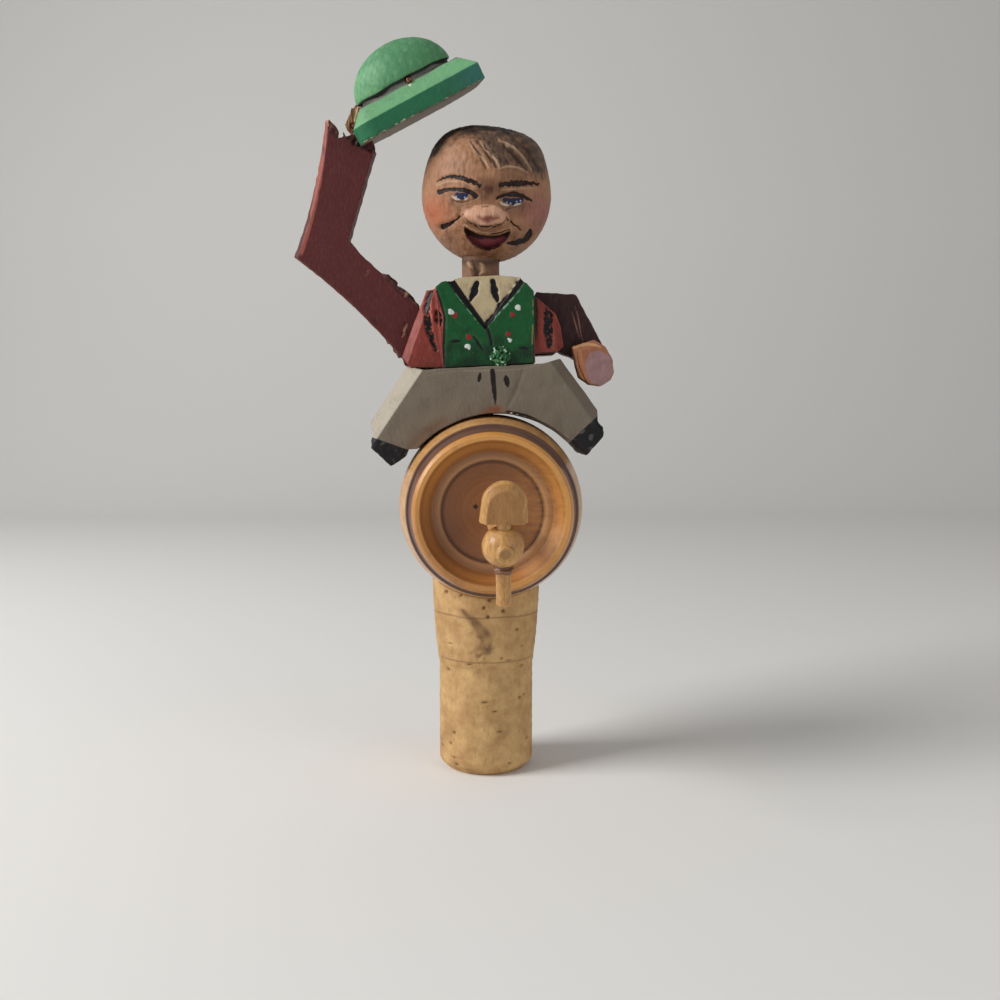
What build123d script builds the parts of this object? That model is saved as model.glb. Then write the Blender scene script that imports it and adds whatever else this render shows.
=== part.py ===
from build123d import *
import os
from math import cos, degrees, hypot, radians, sin, sqrt

# Figural bottle stopper. A painted wooden figure sits astride a small barrel with a tap, on a
# cork. Both arms are flat boards on pins in a saw slot through the torso. Pressing the arm on
# the viewer's right lifts the tongue of the other arm, and that arm takes the hat off the head.
#
# Frame: X to the viewer's right, Y away from the viewer, Z up, in millimetres. The origin is on
# the cork's axis, level with the lip of the bottle. The arms are modelled with the hat raised.

# Cork: squeezed to the bore of the bottle below the lip, and swollen above it
PLUG_R = 9.5
PLUG_LENGTH = 22.0
PLUG_CHAMFER = 1.5
CORK_LIP_R = 9.65
CORK_MID_R = 10.35
CORK_TOP_R = 10.85
CORK_SHOWS = 13.0          # from the lip to the underside of the barrel
SADDLE_RISE = 7.0          # the cork's sides reach this much up round the barrel before the cut
CORK_PEG_R = 2.5
CORK_PEG_IN_CORK = 9.0
CORK_PEG_IN_BARREL = 8.0

# Barrel: turned from one block, lying with its axis front to back
BARREL_X = 0.95            # it is glued on a little off the cork's axis
BARREL_LENGTH = 38.0
BELLY_R = 18.4
BELLY_FULLNESS = 0.27      # share of the swell lost half way to the hoop
HOOP_R = 16.3              # where the dark hoop starts
HOOP_WIDTH = 3.2
HOOP_GROOVE = 0.35
CHIME_R = 14.9
CHIME_WIDTH = 1.5          # from the hoop to the end
CHIME_TAPER = 0.4
CHIME_LIP_R = 13.6
EDGE_EASE = 0.5
SLOPE_R = 11.4
SLOPE_DEPTH = 2.6
SLOPE_SAG = 0.1
RING_DROP = 0.6
RING_R = 9.65
HEAD_RECESS = 4.2
HEAD_DISH = 0.5

# Tap: a turned peg with a ball, a key on top of the ball and a spout below it
TAP_DROOP = 16.7           # degrees, the peg is bored in at a slant
TAP_TURN = 5.2             # degrees towards the viewer's right
TAP_REACH = 16.0           # from the barrel's head to the middle of the ball
TAP_PEG_R = 1.7
TAP_PEG_IN_BARREL = 6.0
TAP_BALL_R = 3.75
TAP_BOSS_R = 1.6
TAP_BOSS_LENGTH = 4.4
TAP_BOSS_SEAT = 0.93       # where the boss leaves the ball, as a share of its radius
TAP_EASE = 0.3             # small edges of the turned pieces
BALL_ANGLES = range(25, 160, 9)
TAP_COLLAR_R = 2.4
TAP_COLLAR_WIDTH = 1.2
KEY_WIDTH = 8.5
KEY_HEIGHT = 7.4
KEY_THICK = 2.4
KEY_BEVEL = 1.0
KEY_SIDE = (0.93, 0.45)    # shares of half its width and of its height, where the arch starts
KEY_HAUNCH = (0.66, 0.84)  # and on the way to its top
KEY_STEM_R = 1.3
KEY_STEM_GAP = 0.7
KEY_STEM_IN_BALL = 1.8
SPOUT_R = 1.4
SPOUT_LENGTH = 11.4        # from the middle of the ball
SPOUT_COLLAR_R = 2.0
SPOUT_COLLAR_WIDTH = 1.5
SPOUT_IN_BALL = 1.6
SPOUT_LEAN = 3.0           # degrees

# Legs: trousers and shoes sawn from one board and bevelled along the outer edges
FIGURE_LEAN = 3.0          # degrees, the whole figure leans to the viewer's left
LEG_DEPTH = 17.0
THIGH_HEIGHT = 9.2         # from the seat to the waist
HIP_HALF = 15.0
HIP_RISE = 0.9             # the hips stand proud of the waist
WAIST_INSET = 3.6          # the waist is flat up to this far from the hips
KNEE_HALF = 21.9
LEFT_KNEE_OUT = 1.0        # the left knee sticks out more
LEFT_ANKLE_OUT = 0.4
KNEE_DROP = 0.4            # below the seat
ANKLE_HALF = 21.7
ANKLE_DROP = 2.7
HEM_HALF = 16.2
HEM_DROP = 6.1
SHOE_HALF = 22.7
SHOE_TOP_DROP = 3.8
SHOE_TIP_DROP = 5.4
SHOE_SOLE_HALF = 19.1
SHOE_SOLE_DROP = 9.2
SHOE_HEEL_HALF = 17.0
SHOE_HEEL_DROP = 8.0
ARCH_R = 21.35
ARCH_SHIFT = 1.25          # the arch was sawn off the middle of the board
LEG_BEVEL = 2.2
LEFT_LEG_BEVEL = 3.1       # the broad facet on the front of the left leg
SEAT_DOWEL_R = 1.5
SEAT_DOWEL_REACH = 5.0     # into each piece

# Torso: vest, shirt and sleeves, with a saw slot for the arms
TORSO_DEPTH = 15.6
# Vest corners: across from the middle and up from the waist, from the lower left round the top
VEST = ((-8.0, 0.0), (-8.7, 15.6), (-7.3, 16.6), (-3.3, 17.4), (4.0, 17.4), (8.1, 16.8), (10.5, 13.9),
        (10.1, 0.0))
VEST_LEFT = 8.0
VEST_RIGHT = 10.1
COLLAR_HEIGHT = 17.4
SLEEVE_SET_BACK = 0.9
SLEEVE_LAP = 0.5           # the sleeves run on behind the edge of the vest
LEFT_CUFF = (14.3, 0.4)    # sleeve corners: out from the middle, and up from the waist
LEFT_SLEEVE_ELBOW = (16.0, 2.6)
LEFT_SLEEVE_MIDDLE = (13.7, 8.1)
LEFT_SHOULDER = (10.4, 15.4)
RIGHT_CUFF = (14.6, 2.0)
RIGHT_SLEEVE_ELBOW = (16.0, 3.1)
RIGHT_SLEEVE_MIDDLE = (15.6, 6.9)
RIGHT_SLEEVE_TOP = (14.7, 9.6)
RIGHT_SHOULDER = (11.5, 12.7)
SLEEVE_BEVEL = 1.6
SLEEVE_BEVEL_FROM = 2.7    # above the waist
RIGHT_SLEEVE_INNER = 14.1  # top of the right sleeve at the vest, above the waist
NECKLINE_DEPTH = 0.7       # the shirt front lies below the vest
NECKLINE = ((-6.5, 18.4), (9.1, 18.4), (0.6, 7.6))
BRIDGE_LEFT = 7.4
BRIDGE_RIGHT = 8.2
BRIDGE_THICK = 4.0
KNOT_R = 1.9
KNOT_X = 3.2
KNOT_Z = 1.7               # above the waist
KNOT_SINK = 0.6

# Neck and head
NECK_X = -0.96
NECK_R = 3.72
NECK_IN_TORSO = 3.0
NECK_SHOWS = 3.9
NECK_IN_HEAD = 5.0
HEAD_X = 0.2
HEAD_R = 12.9
HEAD_FLAT = 12.2           # its top is cut flat this far above the middle
HEAD_FLAT_R = 4.8
HEAD_TILT = 4.0            # degrees, to the viewer's right
NOSE_DROP = 6.2
NOSE_TIP_R = 2.3
NOSE_WING_R = 1.9
NOSE_WING_OUT = 3.0
NOSE_WING_RISE = 0.3
NOSE_TIP_PROUD = 0.2       # the tip lies this far out of the ball, and the wings this far in
NOSE_WING_SUNK = 0.5
MOUTH_X = 0.5
MOUTH_DROP = 7.65          # corners, below the middle of the ball
MOUTH_HALF = 4.5
MOUTH_SAG = 1.3            # of the upper lip
MOUTH_HEIGHT = 3.6
MOUTH_DEPTH = 1.2

# Arms: boards on pins, which meet tongue to tongue in the slot
ARM_THICK = 4.0
ARM_CLEARANCE = 0.3        # each side of an arm in the slot
PIVOT_HALF = 11.6
PIVOT_HEIGHT = 7.5         # above the waist
PIN_R = 0.8
PIN_CLEARANCE = 0.06
PIN_IN_FRONT = 3.2
HUB_R = 3.6
TONGUE_THICK = 2.8
TONGUE_PAST = 1.6          # the hat arm's tongue reaches past the middle
TONGUE_FLARE = 0.8         # thicker towards its pin
TONGUE_NOSE = (0.6, 0.4)   # its end sticks out and slopes back
TONGUE_RISE = 6.0          # degrees, above the line between the pins with the hat raised
TIP_R = 1.3
TIP_GAP = 0.3
HEEL_GAP = 0.2             # the hat arm's heel stops on the hip with the hat raised
ELBOW = (-25.3, 14.7)      # outer corner of the hat arm, from its pin
WRIST = (-18.8, 41.2)      # outer corner of the broken wrist, from its pin
FOREARM_BOW = 0.9          # how far the outer edge curves in
WRIST_WIDTH = 9.7
INNER_ELBOW = (10.9, 3.4)  # inner corner of the elbow, from the outer one
ELBOW_EASE = (2.4, -2.9)   # that corner is sawn off this far
UPPER_BOW = 0.9            # how far the lower edge of the upper arm curves in
SHOULDER_TOP = (-1.0, 5.2)  # from its pin
HEEL_IN = 1.4              # the flat that meets the hip, each side of the hip's corner
HEEL_OUT = 0.6
HEEL_RISE = 1.5
ARM_BEVEL = 0.9
BREAK_DEPTH = 3.6          # how deep the broken wrist is notched
# Corners of the break: shares of the wrist's width across, and of that depth down
BREAK = ((0.10, 0.06), (0.25, 0.5), (0.21, 1.0), (0.31, 1.03), (0.37, 0.67), (0.44, 0.94),
         (0.54, 0.78), (0.66, 0.92), (0.98, 1.33), (1.0, 1.58))
# Corners of the other arm, from its pin: shoulder, elbow and wrist
LEVER = ((-0.7, 7.0), (0.2, 6.8), (6.8, 6.5), (7.3, 6.3), (12.7, -3.6), (13.4, -4.6), (10.8, -8.0),
         (3.9, -5.0))

# Lever hand: a block on the front of the board
HAND_THICK = 5.2
HAND_AT = (6.0, -2.7)      # its upper left corner, from the pin
HAND = ((0.0, -1.4), (1.5, -7.4), (3.6, -8.8), (5.8, -9.2), (7.7, -8.0), (8.2, -6.3), (8.0, -4.2),
        (6.4, -1.4), (4.4, 0.0))
HAND_BEVEL = 1.3           # along its left side and top
HAND_BEVEL_REACH = (4.0, -8.0)

# Hat: straight in front, round behind, with a bevelled brim, a band groove and a domed crown
HAT_END = (-11.985, 35.986)  # left end of the brim's underside, from the hat arm's pin
HAT_TILT = 28.0            # degrees, right end up
HAT_LEAN = 12.0            # degrees, front down
BRIM_LENGTH = 26.6
BRIM_FRONT = 9.0
BRIM_BACK = 11.0
BRIM_EDGE = 3.2
BRIM_BEVEL = 2.8
BRIM_LEFT_R = 4.0
BRIM_BACK_R = 9.0
BAND_HEIGHT = 0.7
BAND_SET_IN = 0.6
CROWN_HALF_LENGTH = 10.3
CROWN_HALF_DEPTH = 7.3
CROWN_HEIGHT = 8.0
TAB_WIDTH = 2.3            # the arm's end is glued into the brim
TAB_IN_HAT = 4.4
TAB_BELOW = 1.0
TAB_INSET = 0.3            # from the end of the brim
STUB_OUT = 2.96            # the splinter of the hand, from the end of the brim
STUB_HEIGHT = 8.04
# Its corners: shares of how far it sticks out, and of its height
STUB = ((-1.0, 0.5), (-0.73, 0.68), (-0.53, 0.88), (-0.09, 1.0), (0.35, 0.94), (0.28, 0.54),
        (-0.05, 0.22), (-0.39, 0.22))
SPLINTER_R = 0.45
SPLINTER_LENGTH = 1.6
SPLINTER_SUNK = 0.6
SPLINTER_X = 0.4

# Sizes worked out from those above
BARREL_Z = CORK_SHOWS + BELLY_R
SEAT_Z = BARREL_Z + BELLY_R
WAIST = THIGH_HEIGHT
PIVOT = WAIST + PIVOT_HEIGHT
SLOT_HALF = ARM_THICK / 2 + ARM_CLEARANCE
TORSO_FRONT = -TORSO_DEPTH / 2
TORSO_TOP = WAIST + COLLAR_HEIGHT
SLOT_TOP = TORSO_TOP - BRIDGE_THICK
FIGURE = Pos(0, 0, SEAT_Z) * Rot(0, -FIGURE_LEAN, 0)
HAT_ARM_PIVOT = (FIGURE * Pos(-PIVOT_HALF, 0, PIVOT)).position
LEVER_PIVOT = (FIGURE * Pos(PIVOT_HALF, 0, PIVOT)).position
HAT_LEFT = HAT_ARM_PIVOT + Vector(HAT_END[0], 0, HAT_END[1])
BRIM_END = Pos(*HAT_LEFT) * Rot(0, -HAT_TILT, 0)
HAT = BRIM_END * Pos(BRIM_LENGTH / 2, 0, 0) * Rot(HAT_LEAN, 0, 0)


def board(points, front, back, radius=0.0):
    """A board sawn to an outline of (x, z) points, between two depths."""
    outline = FilletPolyline(*points, radius=radius, close=True)
    return Pos(0, back, 0) * extrude(Plane.XZ * make_face(outline), amount=back - front)


def rod_y(radius, front, back):
    """A round rod along Y."""
    return Pos(0, (front + back) / 2, 0) * Rot(90, 0, 0) * Cylinder(radius, back - front)


def turned(points):
    """A turned piece: (radius, height) points revolved about Z."""
    face = make_face(Plane.XZ * Polyline(*points, close=True))
    return revolve(face, Axis.Z)


def peg(radius, low, high, chamfer_by=0.3):
    """A dowel along Z with its ends eased."""
    return turned([(0, low), (radius - chamfer_by, low), (radius, low + chamfer_by),
                   (radius, high - chamfer_by), (radius - chamfer_by, high), (0, high)])


def bore(radius, low, high):
    """A round hole along Z."""
    return Pos(0, 0, (low + high) / 2) * Cylinder(radius, high - low)


def make_barrel():
    """Half the profile, from the middle of the belly to the dished head, mirrored and turned."""
    end = BARREL_LENGTH / 2
    hoop = end - CHIME_WIDTH - HOOP_WIDTH
    chime = end - CHIME_WIDTH
    chime_r = CHIME_R + CHIME_TAPER
    outline = [
        ThreePointArc((BELLY_R, 0), (BELLY_R - (BELLY_R - HOOP_R) * BELLY_FULLNESS, hoop / 2), (HOOP_R, hoop)),
        Polyline((HOOP_R, hoop), (HOOP_R - HOOP_GROOVE, hoop), (chime_r - HOOP_GROOVE, chime),
                 (chime_r, chime), (CHIME_R, end - EDGE_EASE), (CHIME_R - EDGE_EASE, end),
                 (CHIME_LIP_R, end),
                 (SLOPE_R, end - SLOPE_DEPTH)),
        ThreePointArc((SLOPE_R, end - SLOPE_DEPTH),
                      ((SLOPE_R + RING_R) / 2, end - SLOPE_DEPTH - SLOPE_SAG),
                      (RING_R, end - SLOPE_DEPTH - RING_DROP)),
        Polyline((RING_R, end - SLOPE_DEPTH - RING_DROP), (RING_R, end - HEAD_RECESS + HEAD_DISH),
                 (0, end - HEAD_RECESS), (0, 0), (BELLY_R, 0)),
    ]
    half = revolve(Plane.XY * make_face(outline), Axis.Y)
    return Pos(BARREL_X, 0, BARREL_Z) * (half + mirror(half, Plane.XZ))


def tap_frame():
    """Middle of the ball: local Z runs out along the peg, and local Y up along the key."""
    return (Pos(BARREL_X, HEAD_RECESS - BARREL_LENGTH / 2, BARREL_Z) * Rot(0, 0, TAP_TURN)
            * Rot(90 + TAP_DROOP, 0, 0) * Pos(0, 0, TAP_REACH))


def make_tap_body():
    ball = [(sin(radians(a)) * TAP_BALL_R, -cos(radians(a)) * TAP_BALL_R) for a in BALL_ANGLES]
    neck = -TAP_BALL_R - TAP_COLLAR_WIDTH
    profile = [(0, -TAP_REACH - TAP_PEG_IN_BARREL), (TAP_PEG_R, -TAP_REACH - TAP_PEG_IN_BARREL),
               (TAP_PEG_R, neck), (TAP_COLLAR_R, neck + TAP_EASE), (TAP_COLLAR_R, neck + TAP_COLLAR_WIDTH)]
    profile += [p for p in ball if p[1] > neck + TAP_COLLAR_WIDTH + 0.1]
    profile += [(TAP_BOSS_R, TAP_BALL_R * TAP_BOSS_SEAT), (TAP_BOSS_R, TAP_BOSS_LENGTH - TAP_EASE),
                (TAP_BOSS_R - TAP_EASE, TAP_BOSS_LENGTH), (0, TAP_BOSS_LENGTH)]
    return turned(profile)


def key_face(inset, height):
    """D-shaped outline of the key, drawn in from its sides and top."""
    foot = TAP_BALL_R + KEY_STEM_GAP
    half = KEY_WIDTH / 2 - inset
    top = foot + KEY_HEIGHT - inset
    side = (half * KEY_SIDE[0], foot + KEY_HEIGHT * KEY_SIDE[1])
    haunch = (half * KEY_HAUNCH[0], foot + KEY_HEIGHT * KEY_HAUNCH[1] - inset)
    outline = [
        Polyline((-side[0], side[1]), (-half, foot), (half, foot), side),
        ThreePointArc(side, haunch, (0, top)),
        ThreePointArc((0, top), (-haunch[0], haunch[1]), (-side[0], side[1])),
    ]
    return Pos(0, 0, height) * make_face(outline)


def make_key():
    """D-shaped plate with its front edges bevelled, on a stem that plugs into the ball."""
    edge = KEY_THICK - KEY_BEVEL
    plate = extrude(key_face(0, 0), amount=edge)
    plate += loft([key_face(0, edge), key_face(KEY_BEVEL, KEY_THICK)], ruled=True)
    foot = TAP_BALL_R + KEY_STEM_GAP
    stem = Rot(-90, 0, 0) * bore(KEY_STEM_R, TAP_BALL_R - KEY_STEM_IN_BALL, foot + 1)
    return Pos(0, 0, -KEY_THICK / 2) * plate + stem


def make_spout():
    """A short tube-like peg under the ball, with a flared collar at its top."""
    start = TAP_BALL_R - SPOUT_IN_BALL
    collar = TAP_BALL_R + 0.1
    profile = [(0, start), (SPOUT_R, start), (SPOUT_R, collar), (SPOUT_COLLAR_R, collar + 0.2),
               (SPOUT_R, collar + SPOUT_COLLAR_WIDTH), (SPOUT_R, SPOUT_LENGTH - TAP_EASE),
               (SPOUT_R - TAP_EASE, SPOUT_LENGTH), (0, SPOUT_LENGTH)]
    return Rot(90, 0, 0) * turned(profile)


def make_legs():
    """Half outlines from the waist to the arch, put together and bored for the dowel."""
    side = [(HIP_HALF - WAIST_INSET, WAIST), (HIP_HALF, WAIST + HIP_RISE), (KNEE_HALF, -KNEE_DROP),
            (ANKLE_HALF, -ANKLE_DROP)]
    shoe = [(ANKLE_HALF, -ANKLE_DROP), (SHOE_HALF, -SHOE_TOP_DROP), (SHOE_HALF, -SHOE_TIP_DROP),
            (SHOE_SOLE_HALF, -SHOE_SOLE_DROP), (SHOE_HEEL_HALF, -SHOE_HEEL_DROP),
            (HEM_HALF, -HEM_DROP)]
    right = side + shoe[1:] + [(0, -HEM_DROP)]
    left = [(-x, z) for x, z in right[:-1]]
    left[2] = (left[2][0] - LEFT_KNEE_OUT, left[2][1])
    left[3] = (left[3][0] - LEFT_ANKLE_OUT, left[3][1])
    front = LEG_DEPTH / 2
    blank = board(right + left[::-1], -front, front)
    outer = blank.edges().filter_by(
        lambda e: abs(abs(e.center().Y) - front) < 0.01 and abs(e.center().X) > HIP_HALF
        and -KNEE_DROP < e.center().Z)
    blank = chamfer(outer.filter_by(lambda e: e.center().Y > 0 or e.center().X > 0), LEG_BEVEL)
    broad = blank.edges().filter_by(
        lambda e: abs(e.center().Y + front) < 0.01 and e.center().X < -HIP_HALF
        and -KNEE_DROP < e.center().Z)
    blank = chamfer(broad, LEFT_LEG_BEVEL)
    arch = Pos(ARCH_SHIFT, 0, -ARCH_R) * rod_y(ARCH_R, -front - 1, front + 1)
    return blank - arch


def make_sleeve(outline, outside):
    """One carved sleeve: a thinner board, bevelled along the edge away from the vest."""
    face = TORSO_DEPTH / 2 - SLEEVE_SET_BACK
    blank = board(outline, -face, face)
    outer = blank.edges().filter_by(
        lambda e: abs(abs(e.center().Y) - face) < 0.01 and outside * e.center().X > VEST_RIGHT + SLEEVE_BEVEL
        and e.center().Z > WAIST + SLEEVE_BEVEL_FROM)
    return chamfer(outer, SLEEVE_BEVEL)


def make_torso():
    """Vest block with a sunk shirt front, two sleeves, and the saw slot for the arms."""
    front = TORSO_FRONT
    vest = [(x, WAIST + up) for x, up in VEST]
    left_seam = -VEST_LEFT + SLEEVE_LAP
    right_seam = VEST_RIGHT - SLEEVE_LAP
    left_sleeve = [(left_seam, WAIST)]
    left_sleeve += [(-out, WAIST + up) for out, up in
                    (LEFT_CUFF, LEFT_SLEEVE_ELBOW, LEFT_SLEEVE_MIDDLE, LEFT_SHOULDER)]
    left_sleeve.append((left_seam, WAIST + LEFT_SHOULDER[1]))
    right_sleeve = [(right_seam, WAIST + RIGHT_CUFF[1])]
    right_sleeve += [(out, WAIST + up) for out, up in
                     (RIGHT_CUFF, RIGHT_SLEEVE_ELBOW, RIGHT_SLEEVE_MIDDLE, RIGHT_SLEEVE_TOP,
                      RIGHT_SHOULDER)]
    right_sleeve.append((right_seam, WAIST + RIGHT_SLEEVE_INNER))
    body = board(vest, front, -front)
    body += make_sleeve(left_sleeve, -1)
    body += make_sleeve(right_sleeve, 1)
    neckline = [(x, WAIST + up) for x, up in NECKLINE]
    body -= board(neckline, front - 1, front + NECKLINE_DEPTH)
    reach = 2 * PIVOT_HALF
    slot = board([(-reach, WAIST - 1), (reach, WAIST - 1), (reach, TORSO_TOP + 1),
                  (BRIDGE_RIGHT, TORSO_TOP + 1), (BRIDGE_RIGHT, SLOT_TOP), (-BRIDGE_LEFT, SLOT_TOP),
                  (-BRIDGE_LEFT, TORSO_TOP + 1), (-reach, TORSO_TOP + 1)], -SLOT_HALF, SLOT_HALF)
    body -= slot
    for x in (-PIVOT_HALF, PIVOT_HALF):
        body -= Pos(x, 0, PIVOT) * pin_solid(PIN_R, 1.0)
    return body


def pin_solid(radius, past_back=0.0):
    """A pin driven in from the back, which ends inside the front wall."""
    back = -TORSO_FRONT - SLEEVE_SET_BACK
    return rod_y(radius, -SLOT_HALF - PIN_IN_FRONT, back + past_back)


def make_knot():
    """A small carved knob, half sunk in the vest."""
    ball = Pos(0, KNOT_SINK, 0) * Sphere(KNOT_R)
    cut = Box(4 * KNOT_R, 2 * KNOT_R, 4 * KNOT_R, align=(Align.CENTER, Align.MIN, Align.CENTER))
    return Pos(KNOT_X, TORSO_FRONT, WAIST + KNOT_Z) * (ball - cut)


def head_blank():
    """The turned head: a ball with a flat top, on which the hat rests."""
    outline = [
        CenterArc((0, 0), HEAD_R, -90, 90),
        TangentArc((HEAD_R, 0), (HEAD_FLAT_R, HEAD_FLAT), tangent=(0, 1)),
        Polyline((HEAD_FLAT_R, HEAD_FLAT), (0, HEAD_FLAT), (0, -HEAD_R)),
    ]
    return revolve(Plane.XZ * make_face(outline), Axis.Z)


def make_head():
    """The blank with a three-lobed nose and an open mouth."""
    head = head_blank()
    nose_y = -sqrt(HEAD_R ** 2 - NOSE_DROP ** 2)
    head += Pos(0, nose_y - NOSE_TIP_PROUD, -NOSE_DROP) * Sphere(NOSE_TIP_R)
    for side in (-1, 1):
        head += Pos(side * NOSE_WING_OUT, nose_y + NOSE_WING_SUNK, NOSE_WING_RISE - NOSE_DROP) * Sphere(NOSE_WING_R)
    left = (MOUTH_X - MOUTH_HALF, -MOUTH_DROP)
    right = (MOUTH_X + MOUTH_HALF, -MOUTH_DROP)
    lips = [
        ThreePointArc(left, (MOUTH_X, -MOUTH_DROP - MOUTH_SAG), right),
        ThreePointArc(right, (MOUTH_X, -MOUTH_DROP - MOUTH_HEIGHT), left),
    ]
    mouth = extrude(Plane.XZ * make_face(lips), amount=HEAD_R + 2)
    return head - (mouth - Sphere(HEAD_R - MOUTH_DEPTH))


def make_hat_blank():
    """The hat in its own frame: brim, band groove and crown."""
    half = BRIM_LENGTH / 2
    outline = FilletPolyline((-half, -BRIM_FRONT), (half, -BRIM_FRONT), (half, BRIM_BACK),
                             (-half, BRIM_BACK), close=True,
                             radius=[BRIM_LEFT_R, 0, BRIM_BACK_R, BRIM_BACK_R])
    brim_top = BRIM_EDGE + BRIM_BEVEL
    brim = extrude(make_face(outline), amount=brim_top)
    brim = chamfer(brim.edges().filter_by(lambda e: e.center().Z > brim_top - 0.01), BRIM_BEVEL)
    depth_share = CROWN_HALF_DEPTH / CROWN_HALF_LENGTH
    band = Pos(0, 0, brim_top - 1) * Cylinder(
        CROWN_HALF_LENGTH - BAND_SET_IN, BAND_HEIGHT + 2,
        align=(Align.CENTER, Align.CENTER, Align.MIN))
    dome = [
        Polyline((0, 0), (CROWN_HALF_LENGTH, 0)),
        EllipticalCenterArc((0, 0), CROWN_HALF_LENGTH, CROWN_HEIGHT, 0, arc_size=90),
        Polyline((0, CROWN_HEIGHT), (0, 0)),
    ]
    crown = Pos(0, 0, brim_top + BAND_HEIGHT) * revolve(Plane.XZ * make_face(dome), Axis.Z)
    middle = (BRIM_BACK - BRIM_FRONT) / 2
    return brim + Pos(0, middle, 0) * scale(band + crown, by=(1, depth_share, 1))


def tongue_frame(side):
    """Pin of one arm in the figure's frame: side -1 is the hat arm, +1 the other."""
    return FIGURE * Pos(side * PIVOT_HALF, 0, PIVOT)


def make_hat_tongue():
    """Tongue of the hat arm: its underside lies on a line through the pin."""
    reach = PIVOT_HALF + TONGUE_PAST
    half = ARM_THICK / 2
    out, back = TONGUE_NOSE
    bar = board([(0, 0), (reach, 0), (reach + out, TONGUE_THICK * 0.6),
                 (reach - back, TONGUE_THICK), (0, TONGUE_THICK + TONGUE_FLARE)], -half, half)
    return tongue_frame(-1) * Rot(0, -TONGUE_RISE, 0) * bar


def make_lever_tongue():
    """Tongue of the lever arm: its round tip lies under the other tongue, with a small gap."""
    half = ARM_THICK / 2
    drop = degrees((TIP_R + TIP_GAP) / PIVOT_HALF)
    tip = Pos(-PIVOT_HALF, 0, 0) * rod_y(TIP_R, -half, half)
    bar = board([(0, -TIP_R - TONGUE_FLARE), (0, TIP_R), (-PIVOT_HALF, 0), (-PIVOT_HALF, -TIP_R)],
                -half, half)
    return tongue_frame(1) * Rot(0, TONGUE_RISE - drop, 0) * (tip + bar)


def bowed(start, end, bow):
    """Middle of an edge from start to end that curves in to its right by the bow."""
    along_x = end[0] - start[0]
    along_z = end[1] - start[1]
    length = hypot(along_x, along_z)
    return ((start[0] + end[0]) / 2 + along_z * bow / length,
            (start[1] + end[1]) / 2 - along_x * bow / length)


def make_hat_arm():
    """Upper arm and forearm in one board, with its hand snapped off and a tab into the hat."""
    half = ARM_THICK / 2
    ex, ez = ELBOW
    wx, wz = WRIST
    inner_elbow = (ex + INNER_ELBOW[0], ez + INNER_ELBOW[1])
    hip = (FIGURE * Pos(-HIP_HALF, 0, WAIST + HIP_RISE)).position - HAT_ARM_PIVOT
    heel_z = hip.Z + HEEL_GAP
    armpit = (hip.X - 2 * HEEL_OUT, heel_z + HEEL_RISE)
    outline = [
        ThreePointArc(ELBOW, bowed(ELBOW, WRIST, FOREARM_BOW), WRIST),
        Polyline(WRIST, *[(wx + WRIST_WIDTH * across, wz - BREAK_DEPTH * down) for across, down in BREAK],
                 inner_elbow, (inner_elbow[0] + ELBOW_EASE[0], inner_elbow[1] + ELBOW_EASE[1]),
                 SHOULDER_TOP, (HUB_R, 0)),
        ThreePointArc((HUB_R, 0), (HUB_R * 0.7, -HUB_R * 0.7), (0, -HUB_R)),
        Polyline((0, -HUB_R), (hip.X + HEEL_IN, heel_z), (hip.X - HEEL_OUT, heel_z), armpit),
        ThreePointArc(armpit, bowed(armpit, ELBOW, UPPER_BOW), ELBOW),
    ]
    blade = extrude(Plane.XZ * make_face(outline), amount=half, both=True)
    edge = blade.edges().filter_by(
        lambda e: abs(e.center().Y + half) < 0.01 and e.center().X < ex + WRIST_WIDTH / 2
        and ez + WRIST_WIDTH < e.center().Z < wz - WRIST_WIDTH)
    blade = chamfer(edge, ARM_BEVEL)
    arm = Pos(*HAT_ARM_PIVOT) * blade
    tab = BRIM_END * board([(TAB_INSET, -TAB_BELOW), (TAB_INSET + TAB_WIDTH, -TAB_BELOW),
                            (TAB_INSET + TAB_WIDTH, TAB_IN_HAT), (TAB_INSET, TAB_IN_HAT)],
                           -half, half)
    arm += tab
    arm += make_hat_tongue()
    return arm - Pos(*HAT_ARM_PIVOT) * rod_y(PIN_R + PIN_CLEARANCE, -half - 1, half + 1)


def make_hand_stub():
    """A splintered remnant of the hand, stuck to the end of the brim."""
    outline = [(STUB_OUT * out, STUB_HEIGHT * up) for out, up in STUB]
    return Pos(*HAT_LEFT) * board(outline, -ARM_THICK / 2, ARM_THICK / 2)


def make_lever_arm():
    """Bent board from the pin to the hand."""
    half = ARM_THICK / 2
    arm = Pos(*LEVER_PIVOT) * board([*LEVER, (0, -HUB_R), (-HUB_R, 0)], -half, half)
    arm += make_lever_tongue()
    return arm - Pos(*LEVER_PIVOT) * rod_y(PIN_R + PIN_CLEARANCE, -half - 1, half + 1)


def make_lever_hand():
    """Rounded block hand on the front of the lever arm, bevelled to its left and on top."""
    left, top = HAND_AT
    outline = [(left + right, top + up) for right, up in HAND]
    front = -ARM_THICK / 2 - HAND_THICK
    block = board(outline, front, -ARM_THICK / 2)
    sides = block.edges().filter_by(
        lambda e: abs(e.center().Y - front) < 0.01 and e.center().X < left + HAND_BEVEL_REACH[0])
    sides = sides.filter_by(lambda e: e.center().Z > top + HAND_BEVEL_REACH[1])
    return Pos(*LEVER_PIVOT) * chamfer(sides, HAND_BEVEL)


barrel = make_barrel()
tap = tap_frame()
tap_body = tap * make_tap_body()
tap_key = tap * make_key()
tap_spout = tap * Rot(0, 0, SPOUT_LEAN) * make_spout()
barrel -= tap * bore(TAP_PEG_R, -TAP_REACH - TAP_PEG_IN_BARREL, -TAP_REACH + HEAD_RECESS)
tap_body -= tap_key
tap_body -= tap_spout

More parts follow.
